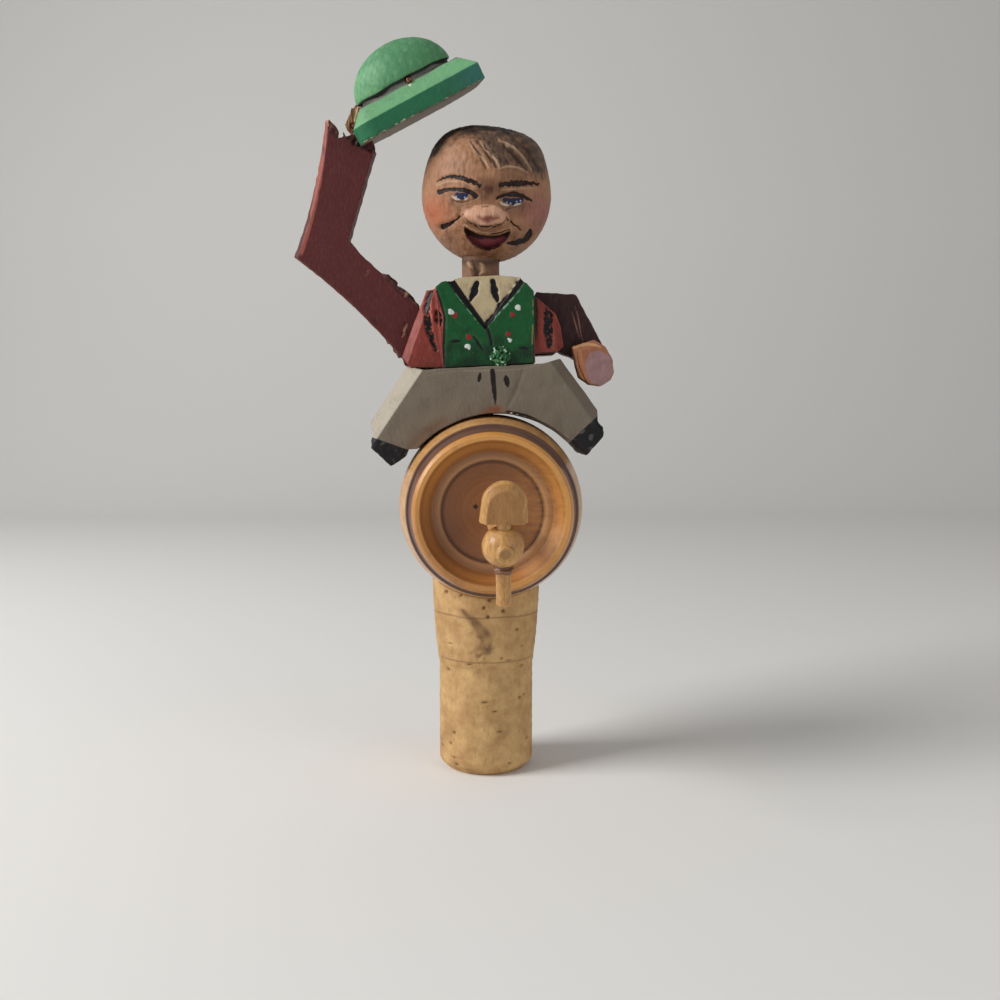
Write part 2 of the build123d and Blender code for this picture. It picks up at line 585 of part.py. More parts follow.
cork_side = [
    ThreePointArc((CORK_LIP_R, 0), (CORK_MID_R, CORK_SHOWS / 2), (CORK_TOP_R, CORK_SHOWS + SADDLE_RISE)),
    Polyline((CORK_TOP_R, CORK_SHOWS + SADDLE_RISE), (0, CORK_SHOWS + SADDLE_RISE), (0, -PLUG_LENGTH),
             (PLUG_R - PLUG_CHAMFER, -PLUG_LENGTH), (PLUG_R, PLUG_CHAMFER - PLUG_LENGTH),
             (PLUG_R, 0), (CORK_LIP_R, 0)),
]
cork = revolve(Plane.XZ * make_face(cork_side), Axis.Z)
cork -= make_barrel()
cork_peg = peg(CORK_PEG_R, CORK_SHOWS - CORK_PEG_IN_CORK, CORK_SHOWS + CORK_PEG_IN_BARREL)
cork -= bore(CORK_PEG_R, CORK_SHOWS - CORK_PEG_IN_CORK, BARREL_Z)
barrel -= bore(CORK_PEG_R, 0, CORK_SHOWS + CORK_PEG_IN_BARREL)

legs = FIGURE * make_legs() - make_barrel()
torso = FIGURE * make_torso() - legs
waist_knot = FIGURE * make_knot()
seat_dowel = FIGURE * peg(SEAT_DOWEL_R, -SEAT_DOWEL_REACH, SEAT_DOWEL_REACH)
seat_hole = FIGURE * bore(SEAT_DOWEL_R, -SEAT_DOWEL_REACH, SEAT_DOWEL_REACH)
legs -= seat_hole
barrel -= seat_hole

neck_foot = (FIGURE * Pos(0, 0, TORSO_TOP)).position.Z
head_z = neck_foot + NECK_SHOWS + sqrt(HEAD_R ** 2 - NECK_R ** 2)
neck_top = neck_foot + NECK_SHOWS + NECK_IN_HEAD
neck = Pos(NECK_X, 0, 0) * peg(NECK_R, neck_foot - NECK_IN_TORSO, neck_top)
torso -= Pos(NECK_X, 0, 0) * bore(NECK_R, neck_foot - NECK_IN_TORSO, neck_top)
head = Pos(HEAD_X, 0, head_z) * Rot(0, HEAD_TILT, 0) * make_head()
head -= Pos(NECK_X, 0, 0) * bore(NECK_R, neck_foot, neck_top)

hat_arm = make_hat_arm()
lever_arm = make_lever_arm()
lever_hand = make_lever_hand()
hat_arm_pin = tongue_frame(-1) * pin_solid(PIN_R)
lever_arm_pin = tongue_frame(1) * pin_solid(PIN_R)

hat = HAT * make_hat_blank() - hat_arm
hand_stub = make_hand_stub() - hat - hat_arm
band_front = (BRIM_BACK - BRIM_FRONT) / 2 - CROWN_HALF_DEPTH + BAND_SET_IN
splinter_at = HAT * Pos(SPLINTER_X, band_front, BRIM_EDGE + BRIM_BEVEL + BAND_HEIGHT / 2)
hat_splinter = splinter_at * Rot(90, 0, 0) * bore(SPLINTER_R, -SPLINTER_SUNK, SPLINTER_LENGTH - SPLINTER_SUNK)
hat -= hat_splinter

nodes = {
    "cork": cork, "cork_peg": cork_peg, "barrel": barrel, "tap_body": tap_body,
    "tap_key": tap_key, "tap_spout": tap_spout, "legs": legs, "seat_dowel": seat_dowel,
    "torso": torso, "waist_knot": waist_knot, "neck": neck, "head": head, "hat_arm": hat_arm,
    "hand_stub": hand_stub, "hat": hat, "hat_splinter": hat_splinter, "lever_arm": lever_arm,
    "lever_hand": lever_hand, "hat_arm_pin": hat_arm_pin, "lever_arm_pin": lever_arm_pin,
}
os.makedirs("parts", exist_ok=True)
for name, solid in nodes.items():
    export_step(solid, f"parts/{name}.step")
print("hat arm pin", tuple(HAT_ARM_PIVOT), "lever arm pin", tuple(LEVER_PIVOT))
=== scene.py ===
from math import pi, radians
from types import SimpleNamespace
import bmesh
import bpy
import numpy as np
from mathutils import Matrix, Vector


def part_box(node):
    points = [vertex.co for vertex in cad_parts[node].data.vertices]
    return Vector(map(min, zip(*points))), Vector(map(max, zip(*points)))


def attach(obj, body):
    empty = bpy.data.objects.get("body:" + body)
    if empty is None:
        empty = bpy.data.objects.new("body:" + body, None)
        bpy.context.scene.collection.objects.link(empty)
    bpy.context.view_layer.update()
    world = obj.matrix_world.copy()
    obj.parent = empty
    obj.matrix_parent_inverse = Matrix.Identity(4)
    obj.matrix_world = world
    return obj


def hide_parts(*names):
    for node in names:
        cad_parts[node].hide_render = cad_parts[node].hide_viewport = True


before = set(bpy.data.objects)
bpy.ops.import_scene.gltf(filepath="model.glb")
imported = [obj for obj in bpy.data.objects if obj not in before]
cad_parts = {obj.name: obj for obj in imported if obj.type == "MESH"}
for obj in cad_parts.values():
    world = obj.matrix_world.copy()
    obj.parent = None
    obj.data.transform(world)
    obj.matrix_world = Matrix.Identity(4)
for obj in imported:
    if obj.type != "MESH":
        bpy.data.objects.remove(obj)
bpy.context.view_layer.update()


# Camera and stage. The camera stands where the photograph was taken from, about 200 mm in front
# and a little above the middle, and a pale sheet runs under the cork and up behind the figure.
MM = 0.001
CAMERA_PLACE = np.array([-4.186, -202.438, 49.065])
CAMERA_PITCH = radians(4.7)
CAMERA_TURN = radians(2.0)
CAMERA_LENS = 36.0
PICTURE = 1000
FLOOR_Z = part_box("cork")[0].z
MIDDLE = Vector((0, 0, 0.055))

bpy.context.scene.view_settings.view_transform = "Standard"
camera_data = bpy.data.cameras.new("camera")
camera_data.sensor_width = CAMERA_LENS
camera_data.lens = CAMERA_LENS
camera_data.clip_start = 0.01
camera = bpy.data.objects.new("camera", camera_data)
camera.location = CAMERA_PLACE * MM
camera.rotation_euler = (pi / 2 - CAMERA_PITCH, 0, -CAMERA_TURN)
bpy.context.scene.collection.objects.link(camera)
bpy.context.scene.camera = camera


def soft_lamp(name, place, size, level):
    """A square lamp aimed at the figure. At level 1 it shows a face turned to it in its written colour."""
    data = bpy.data.lights.new(name, "AREA")
    data.size = size
    lamp = bpy.data.objects.new(name, data)
    lamp.location = place
    reach = MIDDLE - lamp.location
    data.energy = level * (pi * reach.length) ** 2
    lamp.rotation_euler = reach.to_track_quat("-Z", "Y").to_euler()
    bpy.context.scene.collection.objects.link(lamp)


soft_lamp("window", (-0.58, -0.17, 0.40), 0.34, 1.0)
soft_lamp("room", (0.50, -0.45, 0.16), 0.45, 0.2)
world = bpy.data.worlds.new("room_light")
world.use_nodes = True
world.node_tree.nodes["Background"].inputs["Color"].default_value = (0.97, 0.98, 1.0, 1)
world.node_tree.nodes["Background"].inputs["Strength"].default_value = 0.3
bpy.context.scene.world = world


def tone(red, green, blue):
    """A colour written in the 0 to 255 steps of a paint chart, as linear light."""
    steps = np.array([red, green, blue]) / 255
    light = np.where(steps < 0.0405, steps / 12.92, ((steps + 0.055) / 1.055) ** 2.4)
    return (*light.tolist(), 1.0)


def surface(name, points):
    """A mesh over a grid of points, given as rows x columns x 3 in millimetres."""
    rows, columns = points.shape[:2]
    index = np.arange(rows * columns).reshape(rows, columns)
    corners = [index[:-1, :-1], index[:-1, 1:], index[1:, 1:], index[1:, :-1]]
    faces = np.stack(corners, axis=-1).reshape(-1, 4)
    mesh = bpy.data.meshes.new(name)
    mesh.from_pydata((points.reshape(-1, 3) * MM).tolist(), [], faces.tolist())
    mesh.polygons.foreach_set("use_smooth", np.ones(len(faces), bool))
    made = bpy.data.objects.new(name, mesh)
    bpy.context.scene.collection.objects.link(made)
    return made


def new_material(name, roughness=0.6):
    """A material with one Principled shader. Returns the material, its node tree and the shader."""
    material = bpy.data.materials.new(name)
    material.use_nodes = True
    tree = material.node_tree
    shader = tree.nodes["Principled BSDF"]
    shader.inputs["Roughness"].default_value = roughness
    return material, tree, shader


SHEET_HALF = 1600.0
SHEET_FRONT = -900.0
SHEET_BACK = 520.0
SHEET_CURVE = 260.0
SHEET_TOP = 1500.0
turn = np.linspace(0, pi / 2, 24)
run_y = np.r_[SHEET_FRONT, SHEET_BACK + SHEET_CURVE * np.sin(turn), SHEET_BACK + SHEET_CURVE]
run_z = np.r_[0.0, SHEET_CURVE * (1 - np.cos(turn)), SHEET_TOP] + FLOOR_Z / MM
across = np.linspace(-SHEET_HALF, SHEET_HALF, 3)
sheet_points = np.stack(np.broadcast_arrays(across[:, None], run_y, run_z), axis=-1)
backdrop = surface("backdrop", sheet_points)
backdrop_paint, _, backdrop_shader = new_material("backdrop_paint", 0.9)
backdrop_shader.inputs["Base Color"].default_value = tone(232, 230, 226)
backdrop.data.materials.append(backdrop_paint)


# Cork. A used natural wine cork, pale tan with pits and a wine stain, squeezed narrower in its
# lower part and swollen above it. Its top is cut hollow to carry the barrel, on a dowel.
CORK_CELL = 0.2
CORK_R = 10.2
CORK_RINGS = (1.1, 10.2)          # heights of two fine lines that run round it
CORK_PITS = 52
CORK_PIT_HEIGHTS = (-21, 17)
# Here and in the sections below, a path, an outline or a place on the paint is given in picture pixels.
CORK_PIT_MARKS = ((446, 592), (461, 595), (484, 608), (489, 600), (503, 611), (488, 617))
CORK_STAIN = ((461, 609), (473, 621), (483, 634), (487, 645), (478, 655))
CORK_TAN = tone(172, 132, 84)
CORK_PALE = tone(202, 164, 110)
CORK_DARK = tone(96, 68, 42)
CORK_WINE = tone(92, 60, 34)
CORK_HOLLOW = tone(52, 34, 20)


def neighbour_mean(values, edges):
    """Mean of the values at the points that share an edge with each point."""
    ends = np.vstack([edges, edges[:, ::-1]])
    count = np.bincount(ends[:, 0], minlength=len(values))
    sums = [np.bincount(ends[:, 0], weights=column[ends[:, 1]], minlength=len(values))
            for column in values.T]
    return np.stack(sums, axis=1) / np.maximum(count, 1)[:, None]


def read_normals(mesh):
    """Directions that the points of a mesh face, as an array."""
    facing = np.zeros(len(mesh.vertices) * 3)
    mesh.vertex_normals.foreach_get("vector", facing)
    return facing.reshape(-1, 3)


def seen_from_camera(points):
    """Where points in millimetres show in the picture, in pixels from its upper left corner."""
    ahead = np.array([np.sin(CAMERA_TURN) * np.cos(CAMERA_PITCH),
                      np.cos(CAMERA_TURN) * np.cos(CAMERA_PITCH), -np.sin(CAMERA_PITCH)])
    right = np.array([np.cos(CAMERA_TURN), -np.sin(CAMERA_TURN), 0.0])
    away = points - CAMERA_PLACE
    depth = away @ ahead
    up = np.cross(right, ahead)
    return PICTURE / 2 + PICTURE * np.stack([away @ right, -(away @ up)], axis=1) / depth[:, None]


def blank_of(node, cell, rounds=2):
    """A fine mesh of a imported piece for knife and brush: merged, rebuilt from even cells, and eased."""
    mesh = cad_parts[node].data.copy()
    mesh.transform(Matrix.Scale(1 / MM, 4))
    work = bmesh.new()
    work.from_mesh(mesh)
    bmesh.ops.remove_doubles(work, verts=work.verts, dist=1e-4)
    work.to_mesh(mesh)
    work.free()
    rough = bpy.data.objects.new("blank", mesh)
    bpy.context.scene.collection.objects.link(rough)
    cells = rough.modifiers.new("cells", "REMESH")
    cells.mode = "VOXEL"
    cells.voxel_size = cell
    fine = bpy.data.meshes.new_from_object(rough.evaluated_get(bpy.context.evaluated_depsgraph_get()))
    bpy.data.objects.remove(rough)
    fine.name = f"carved_{node}"
    fine.materials.clear()
    points = np.zeros(len(fine.vertices) * 3)
    fine.vertices.foreach_get("co", points)
    points = points.reshape(-1, 3)
    edges = np.zeros(len(fine.edges) * 2, np.int64)
    fine.edges.foreach_get("vertices", edges)
    edges = edges.reshape(-1, 2)
    for _ in range(rounds):
        points = (points + neighbour_mean(points, edges)) / 2
    fine.vertices.foreach_set("co", (points * MM).ravel())
    fine.update()
    facing = read_normals(fine)
    broad = points
    for _ in range(6):
        broad = (broad + neighbour_mean(broad, edges)) / 2
    proud = 1.6 * np.einsum("ij,ij->i", points - broad, facing) / cell
    return SimpleNamespace(node=node, mesh=fine, points=points, edges=edges, facing=facing, marks={},
                           seen=seen_from_camera(points), ridge=held(proud), hollow=held(-proud))


def held(values):
    """Values held between 0 and 1."""
    return np.clip(values, 0, 1)


def most(*covers):
    """The most of several covers, point by point."""
    return np.max(covers, axis=0)


def ripple(points, wave, seed, count=16):
    """An uneven field, mostly from -1 to 1: plane waves of about one length in seeded directions."""
    draw = np.random.default_rng(seed)
    ways = draw.normal(size=(count, 3))
    ways /= np.linalg.norm(ways, axis=1)[:, None] * wave * draw.uniform(0.7, 1.4, count)[:, None]
    return np.sin(points @ ways.T * 2 * pi + draw.uniform(0, 2 * pi, count)).sum(axis=1) / np.sqrt(count)


def patchy(points, wave, seed, gain=1.0, level=0.0):
    """An uneven cover: ripple times a gain, plus a level, held between 0 and 1."""
    return held(gain * ripple(points, wave, seed) + level)


def stroke(seen, path, widths, soft=1.0):
    """Cover from 0 to 1 by a stroke along a smooth curve through pixels, with widths along it."""
    path = np.array(path, float)
    along = np.r_[0, np.cumsum(np.hypot(*np.diff(path, axis=0).T))]
    steps = np.linspace(0, along[-1], 48)
    power = min(len(path) - 1, 3)
    line = np.stack([np.polyval(np.polyfit(along, axis, power), steps) for axis in path.T], axis=1)
    width = np.interp(steps, np.linspace(0, along[-1], len(widths)), widths)
    margin = max(widths) + soft + 1
    near = ((seen > line.min(0) - margin) & (seen < line.max(0) + margin)).all(axis=1)
    away = np.hypot(seen[near, 0, None] - line[:, 0], seen[near, 1, None] - line[:, 1])
    cover = np.zeros(len(seen))
    cover[near] = held(0.5 + (width / 2 - away).max(axis=1) / soft)
    return cover


def dot(seen, centre, radius, soft=1.0):
    """Cover from 0 to 1 by a round dab of paint, in pixels."""
    away = np.hypot(seen[:, 0] - centre[0], seen[:, 1] - centre[1])
    return held(0.5 + (radius - away) / soft)


def dabs(seen, centres, radius, soft=1.0):
    """The most cover of several dabs of one size."""
    return most(*[dot(seen, centre, radius, soft) for centre in centres])


def pare(blank, depth):
    """Cuts a blank back along its facing by a depth in millimetres. Less than 0 builds it up."""
    blank.points -= blank.facing * depth[:, None]


def finish_piece(blank, name, body, material):
    """Puts the carved points and paint marks in the mesh, and seats the piece in place of its node."""
    blank.mesh.vertices.foreach_set("co", (blank.points * MM).ravel())
    blank.mesh.polygons.foreach_set("use_smooth", np.ones(len(blank.mesh.polygons), bool))
    for mark, values in {"ridge": blank.ridge, "hollow": blank.hollow, **blank.marks}.items():
        layer = blank.mesh.attributes.new(mark, "FLOAT", "POINT")
        layer.data.foreach_set("value", np.asarray(values, np.float32))
    blank.mesh.update()
    piece = bpy.data.objects.new(name, blank.mesh)
    bpy.context.scene.collection.objects.link(piece)
    piece.data.materials.append(material)
    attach(piece, body)
    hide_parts(blank.node)


def feed(tree, socket, value):
    """Links a value that comes from a node, or sets a plain one."""
    if isinstance(value, bpy.types.NodeSocket):
        tree.links.new(value, socket)
    elif value is not None:
        socket.default_value = value


def calculate(tree, operation, first, second=None, third=None):
    """A Math node."""
    node = tree.nodes.new("ShaderNodeMath")
    node.operation = operation
    for socket, value in zip(node.inputs, (first, second, third)):
        feed(tree, socket, value)
    return node.outputs[0]


def times(tree, first, second):
    """Two values multiplied."""
    return calculate(tree, "MULTIPLY", first, second)


def plus(tree, first, second):
    """Two values added."""
    return calculate(tree, "ADD", first, second)


def blend_colour(tree, share, under, over):
    """The under colour, covered by the over colour where the share is 1."""
    node = tree.nodes.new("ShaderNodeMix")
    node.data_type = "RGBA"
    feed(tree, node.inputs[0], share)
    feed(tree, node.inputs[6], under)
    feed(tree, node.inputs[7], over)
    return node.outputs[2]


def coated(tree, ground, *coats):
    """A ground colour with coats laid over it in turn, each given as a share and a colour."""
    for share, over in coats:
        ground = blend_colour(tree, share, ground, over)
    return ground


def span(tree, value, low, high, to_low=0.0, to_high=1.0):
    """A value spread from one range to another, held inside it."""
    node = tree.nodes.new("ShaderNodeMapRange")
    for socket, each in zip(node.inputs, (value, low, high, to_low, to_high)):
        feed(tree, socket, each)
    return node.outputs[0]


def stretched(tree, scale=(1, 1, 1), centre=(0, 0, 0)):
    """Object coordinates in millimetres, from a centre, scaled along each axis."""
    place = tree.nodes.new("ShaderNodeTexCoord")
    mapping = tree.nodes.new("ShaderNodeMapping")
    mapping.inputs["Scale"].default_value = [along / MM for along in scale]
    mapping.inputs["Location"].default_value = [-middle * along for middle, along in zip(centre, scale)]
    tree.links.new(place.outputs["Object"], mapping.inputs["Vector"])
    return mapping.outputs[0]


def speckle(tree, where, scale, detail=4.0, roughness=0.6, distortion=0.0):
    """A Noise Texture's value, about 0.5 in the middle."""
    node = tree.nodes.new("ShaderNodeTexNoise")
    feed(tree, node.inputs["Vector"], where)
    node.inputs["Scale"].default_value = scale
    node.inputs["Detail"].default_value = detail
    node.inputs["Roughness"].default_value = roughness
    node.inputs["Distortion"].default_value = distortion
    return node.outputs[0]


def mark_of(tree, name, share=1.0):
    """A paint mark of the piece, read from its mesh, times a share."""
    node = tree.nodes.new("ShaderNodeAttribute")
    node.attribute_name = name
    return times(tree, node.outputs["Fac"], share)


def raise_by(tree, shader, height, distance):
    """Fine relief on a shader, from a height and how many millimetres it stands for."""
    bump = tree.nodes.new("ShaderNodeBump")
    bump.inputs["Distance"].default_value = distance * MM
    tree.links.new(height, bump.inputs["Height"])
    tree.links.new(bump.outputs[0], shader.inputs["Normal"])


def centre_of(node):
    """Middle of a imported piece, in millimetres."""
    low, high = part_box(node)
    return np.array((low + high) / 2) / MM


cork = blank_of("cork", CORK_CELL)
side = held((np.abs(cork.facing[:, 2]) - 0.6) / -0.2)
draw = np.random.default_rng(7)
pit_turn = draw.uniform(0, 2 * pi, CORK_PITS)
pit_height = draw.uniform(*CORK_PIT_HEIGHTS, CORK_PITS)
pit_long = draw.uniform(0.18, 0.75, CORK_PITS)
pit_tall = draw.uniform(0.12, 0.3, CORK_PITS)
point_turn = np.arctan2(cork.points[:, 1], cork.points[:, 0])[:, None]
around = np.angle(np.exp(1j * (point_turn - pit_turn))) * CORK_R
away = (around / pit_long) ** 2 + ((cork.points[:, 2, None] - pit_height) / pit_tall) ** 2
pits = np.exp(-away).max(axis=1)
front = cork.points[:, 1] < -2
pits = most(pits, dabs(cork.seen, CORK_PIT_MARKS, 1.6, 1.6) * front) * side
height = cork.points[:, 2] - 0.12 * ripple(cork.points, 9, 3)
lines = np.exp(-((height[:, None] - CORK_RINGS) / 0.14) ** 2).max(axis=1) * side
pare(cork, 0.38 * pits + 0.12 * lines + 0.03 * ripple(cork.points, 1.6, 4) * side)
stained = cork.seen + 2.2 * ripple(cork.points, 1.6, 6)[:, None]
stain = stroke(stained, CORK_STAIN, (4, 7, 12, 15, 9), 4) * front
cork.marks = {"pit": pits, "line": lines, "stain": stain * (0.75 + 0.35 * ripple(cork.points, 2.2, 5))}
cork_skin, tree, shader = new_material("cork_skin", 0.78)
where = stretched(tree)
long_fleck = speckle(tree, stretched(tree, (1.6, 1.6, 0.5)), 1.1, 6, 0.7)
feed(tree, shader.inputs["Base Color"], coated(
    tree, CORK_TAN, (span(tree, speckle(tree, where, 0.28, 3), 0.35, 0.65), CORK_PALE),
    (span(tree, long_fleck, 0.56, 0.72, 0, 0.45), CORK_DARK), (mark_of(tree, "stain", 0.72), CORK_WINE),
    (mark_of(tree, "line", 0.55), CORK_DARK), (mark_of(tree, "pit", 0.7), CORK_HOLLOW)))
raise_by(tree, shader, speckle(tree, where, 1.8, 5), 0.12)
finish_piece(cork, "cork_body", "stopper", cork_skin)


# Barrel. Turned from one block with its axis front to back and varnished a honey colour. A dark
# hoop band is coloured round each end, and the sunk heads were left with fine turning lines.
BARREL_MIDDLE = centre_of("barrel")
HOOP_FROM = 13.5                  # from the middle, front and back
HOOP_TO = 17.9
HEAD_REACH = 15.4                 # inside this radius the end's own colours begin
HEAD_TONES = ((0.0, (166, 106, 56)), (8.9, (142, 88, 48)), (9.55, (88, 52, 32)), (10.0, (180, 134, 92)),
              (11.1, (150, 102, 64)), (11.6, (160, 104, 54)), (12.6, (190, 126, 60)),
              (13.3, (160, 102, 48)), (13.8, (226, 164, 86)), (14.9, (208, 142, 68)))
SUNK_R = 14.0                     # the sunk heads, and how far out along the axis their colours begin
SUNK_FROM = 12.0
NICK_AT = (-3.2, 1.0)             # a nick in the front head, across and up from its middle
NICK_R = 0.45


def shared_effect(name, inputs, outputs):
    """An empty node group with named sockets. Returns the group, its inlet's sockets and its outlet's."""
    group = bpy.data.node_groups.new(name, "ShaderNodeTree")
    kinds = {"value": "NodeSocketFloat", "colour": "NodeSocketColor", "vector": "NodeSocketVector"}
    for label, kind in inputs:
        group.interface.new_socket(label, in_out="INPUT", socket_type=kinds[kind])
    for label, kind in outputs:
        group.interface.new_socket(label, in_out="OUTPUT", socket_type=kinds[kind])
    return group, group.nodes.new("NodeGroupInput").outputs, group.nodes.new("NodeGroupOutput").inputs


def place_effect(tree, group, **values):
    """One use of a shared effect, with its inputs set or linked. Returns its outputs."""
    node = tree.nodes.new("ShaderNodeGroup")
    node.node_tree = group
    for label, value in values.items():
        feed(tree, node.inputs[label], value)
    return node.outputs


def by_steps(tree, value, reach, tones):
    """Colours along a value from 0 to its reach, written as pairs of place and chart colour."""
    ramp = tree.nodes.new("ShaderNodeValToRGB")
    feed(tree, ramp.inputs[0], calculate(tree, "DIVIDE", value, reach))
    while len(ramp.color_ramp.elements) < len(tones):
        ramp.color_ramp.elements.new(0.5)
    for element, (place, chart) in zip(ramp.color_ramp.elements, tones):
        element.position = place / reach
        element.color = tone(*chart)
    return ramp.outputs[0]


# Grain: streaks three ways, coarse, fine and dark pores, all stretched by the vector it is given.
wood_grain, inlet, outlet = shared_effect(
    "wood_grain", (("Where", "vector"), ("Pale", "colour"), ("Dark", "colour"), ("Pores", "value")),
    (("Colour", "colour"), ("Height", "value")))
coarse = speckle(wood_grain, inlet["Where"], 0.35, 4, 0.6, 0.4)
fine = speckle(wood_grain, inlet["Where"], 2.4, 6, 0.7)
streak = span(wood_grain, plus(wood_grain, coarse, fine), 0.8, 1.25)
grained = blend_colour(wood_grain, streak, inlet["Dark"], inlet["Pale"])
pore = times(wood_grain, span(wood_grain, fine, 0.42, 0.3), inlet["Pores"])
feed(wood_grain, outlet["Colour"], blend_colour(wood_grain, pore, grained, (0.05, 0.025, 0.012, 1)))
feed(wood_grain, outlet["Height"], fine)


def lathe_lines(tree, value, scale):
    """Lines left by the lathe: noise that changes along one value only."""
    joined = tree.nodes.new("ShaderNodeCombineXYZ")
    feed(tree, joined.inputs[0], value)
    return speckle(tree, joined.outputs[0], scale, 5, 0.75)


honey_varnish, tree, shader = new_material("honey_varnish", 0.4)
where = stretched(tree, centre=BARREL_MIDDLE)
axes = tree.nodes.new("ShaderNodeSeparateXYZ")
tree.links.new(where, axes.inputs[0])
aside, along, up = axes.outputs
out = calculate(tree, "SQRT", plus(tree, times(tree, aside, aside), times(tree, up, up)))
deep = calculate(tree, "ABSOLUTE", along)
uneven = calculate(tree, "MULTIPLY_ADD", speckle(tree, where, 0.9, 3), 0.24, -0.12)
ragged = plus(tree, deep, uneven)
rings = lathe_lines(tree, out, 1.9)
bands = lathe_lines(tree, along, 1.3)
grain = place_effect(tree, wood_grain, Where=stretched(tree, (0.7, 0.16, 0.7), BARREL_MIDDLE),
                     Pale=tone(226, 176, 114), Dark=tone(190, 138, 82), Pores=0.2)
scratch = span(tree, speckle(tree, stretched(tree, (0.6, 3.4, 0.6)), 1.1, 5, 0.7), 0.6, 0.68, 0, 0.25)
hoop_colour = coated(tree, tone(84, 56, 48), (span(tree, bands, 0.35, 0.65), tone(118, 84, 70)),
                     (scratch, tone(176, 134, 100)))
in_hoop = times(tree, span(tree, ragged, HOOP_FROM - 0.1, HOOP_FROM + 0.1),
                span(tree, ragged, HOOP_TO + 0.1, HOOP_TO - 0.1))
edge_line = times(tree, span(tree, deep, HOOP_TO - 0.35, HOOP_TO - 0.1, 0, 0.6),
                  span(tree, deep, HOOP_TO + 0.25, HOOP_TO))
side_colour = coated(tree, grain["Colour"], (span(tree, bands, 0.4, 0.62, 0, 0.4), tone(150, 104, 62)),
                     (in_hoop, hoop_colour), (edge_line, tone(60, 36, 24)))
red_side = span(tree, plus(tree, aside, up), -2, -18, 0, 0.3)
cloud = speckle(tree, stretched(tree, (0.5, 0.5, 1.6), BARREL_MIDDLE), 0.9, 5)
lit_side = times(tree, span(tree, aside, 0, 13, 0, 0.5), span(tree, cloud, 0.3, 0.6))
nick = times(tree, uneven, 4.0)
for axis, place in zip((aside, up), NICK_AT):
    nick = plus(tree, nick, calculate(tree, "ABSOLUTE", calculate(tree, "SUBTRACT", axis, place)))
nick = times(tree, span(tree, nick, NICK_R + 0.2, NICK_R), span(tree, along, 0, -1))
head_colour = coated(
    tree, by_steps(tree, out, HEAD_REACH, HEAD_TONES),
    (span(tree, rings, 0.42, 0.62, 0, 0.3), tone(92, 54, 30)),
    (span(tree, rings, 0.42, 0.3, 0, 0.14), tone(224, 166, 98)),
    (red_side, tone(112, 58, 34)), (lit_side, tone(210, 150, 82)), (nick, tone(40, 22, 14)))
on_chime = times(tree, span(tree, out, HEAD_REACH, HEAD_REACH - 0.15),
                 span(tree, deep, HOOP_TO, HOOP_TO + 0.2))
on_head = times(tree, span(tree, out, SUNK_R, SUNK_R - 0.2), span(tree, deep, SUNK_FROM, SUNK_FROM + 0.6))
in_head = calculate(tree, "MAXIMUM", on_chime, on_head)
grime = span(tree, speckle(tree, where, 0.22, 5, 0.7), 0.52, 0.7, 0, 0.4)
feed(tree, shader.inputs["Base Color"], coated(tree, side_colour, (in_head, head_colour),
                                               (grime, tone(120, 78, 46))))
feed(tree, shader.inputs["Roughness"], span(tree, grime, 0, 0.4, 0.34, 0.56))
relief = plus(tree, times(tree, rings, in_head), times(tree, bands, 0.4))
raise_by(tree, shader, relief, 0.16)
shader.inputs["Coat Weight"].default_value = 0.25
shader.inputs["Coat Roughness"].default_value = 0.3
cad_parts["barrel"].material_slots[0].material = honey_varnish


# Tap. A turned boxwood peg with a ball, a sawn key on its stem and a thin spout, plugged into the
# front head. The collar of the spout is stained dark and chipped, and the ball's end shows grain.
TAP_CELL = 0.12
BOSS_AT = (505.9, 554)
COLLAR_LINE = ((494, 570), (520, 572))
tap_boxwood, tree, shader = new_material("tap_boxwood", 0.5)
grain = place_effect(tree, wood_grain, Where=stretched(tree, (1.0, 1.0, 0.24)), Pale=tone(210, 160, 92),
                     Dark=tone(160, 110, 54), Pores=0.1)
spotted = calculate(tree, "MULTIPLY_ADD", speckle(tree, stretched(tree), 2.2), 0.9, -0.45)
stained = span(tree, plus(tree, mark_of(tree, "collar"), spotted), 0.35, 0.6)
feed(tree, shader.inputs["Base Color"], coated(
    tree, grain["Colour"], (mark_of(tree, "boss", 0.6), tone(120, 80, 46)),
    (mark_of(tree, "face", 0.6), tone(150, 102, 50)), (stained, tone(112, 70, 42)),
    (mark_of(tree, "hollow", 0.55), tone(96, 60, 34)),
    (mark_of(tree, "ridge", 0.35), tone(236, 200, 150))))
raise_by(tree, shader, grain["Height"], 0.08)
shader.inputs["Coat Weight"].default_value = 0.2
for node in ("tap_body", "tap_key", "tap_spout"):
    tap = blank_of(node, TAP_CELL, 1)
    wobble = ripple(tap.points, 2.5, 11)
    if node == "tap_body":
        tap.marks["boss"] = dot(tap.seen, BOSS_AT, 6, 2) * (tap.facing[:, 1] < -0.5)
    if node == "tap_key":
        tap.marks["face"] = held((-tap.facing[:, 1] - 0.84) / 0.08)
    if node == "tap_spout":
        tap.marks["collar"] = stroke(tap.seen, COLLAR_LINE, (8.5, 8.5), 1.5)
        pare(tap, 0.22 * patchy(tap.points, 1.3, 12, 1, -0.3) * tap.marks["collar"])
    pare(tap, 0.03 + 0.03 * wobble)
    finish_piece(tap, f"{node}_turned", "stopper", tap_boxwood)


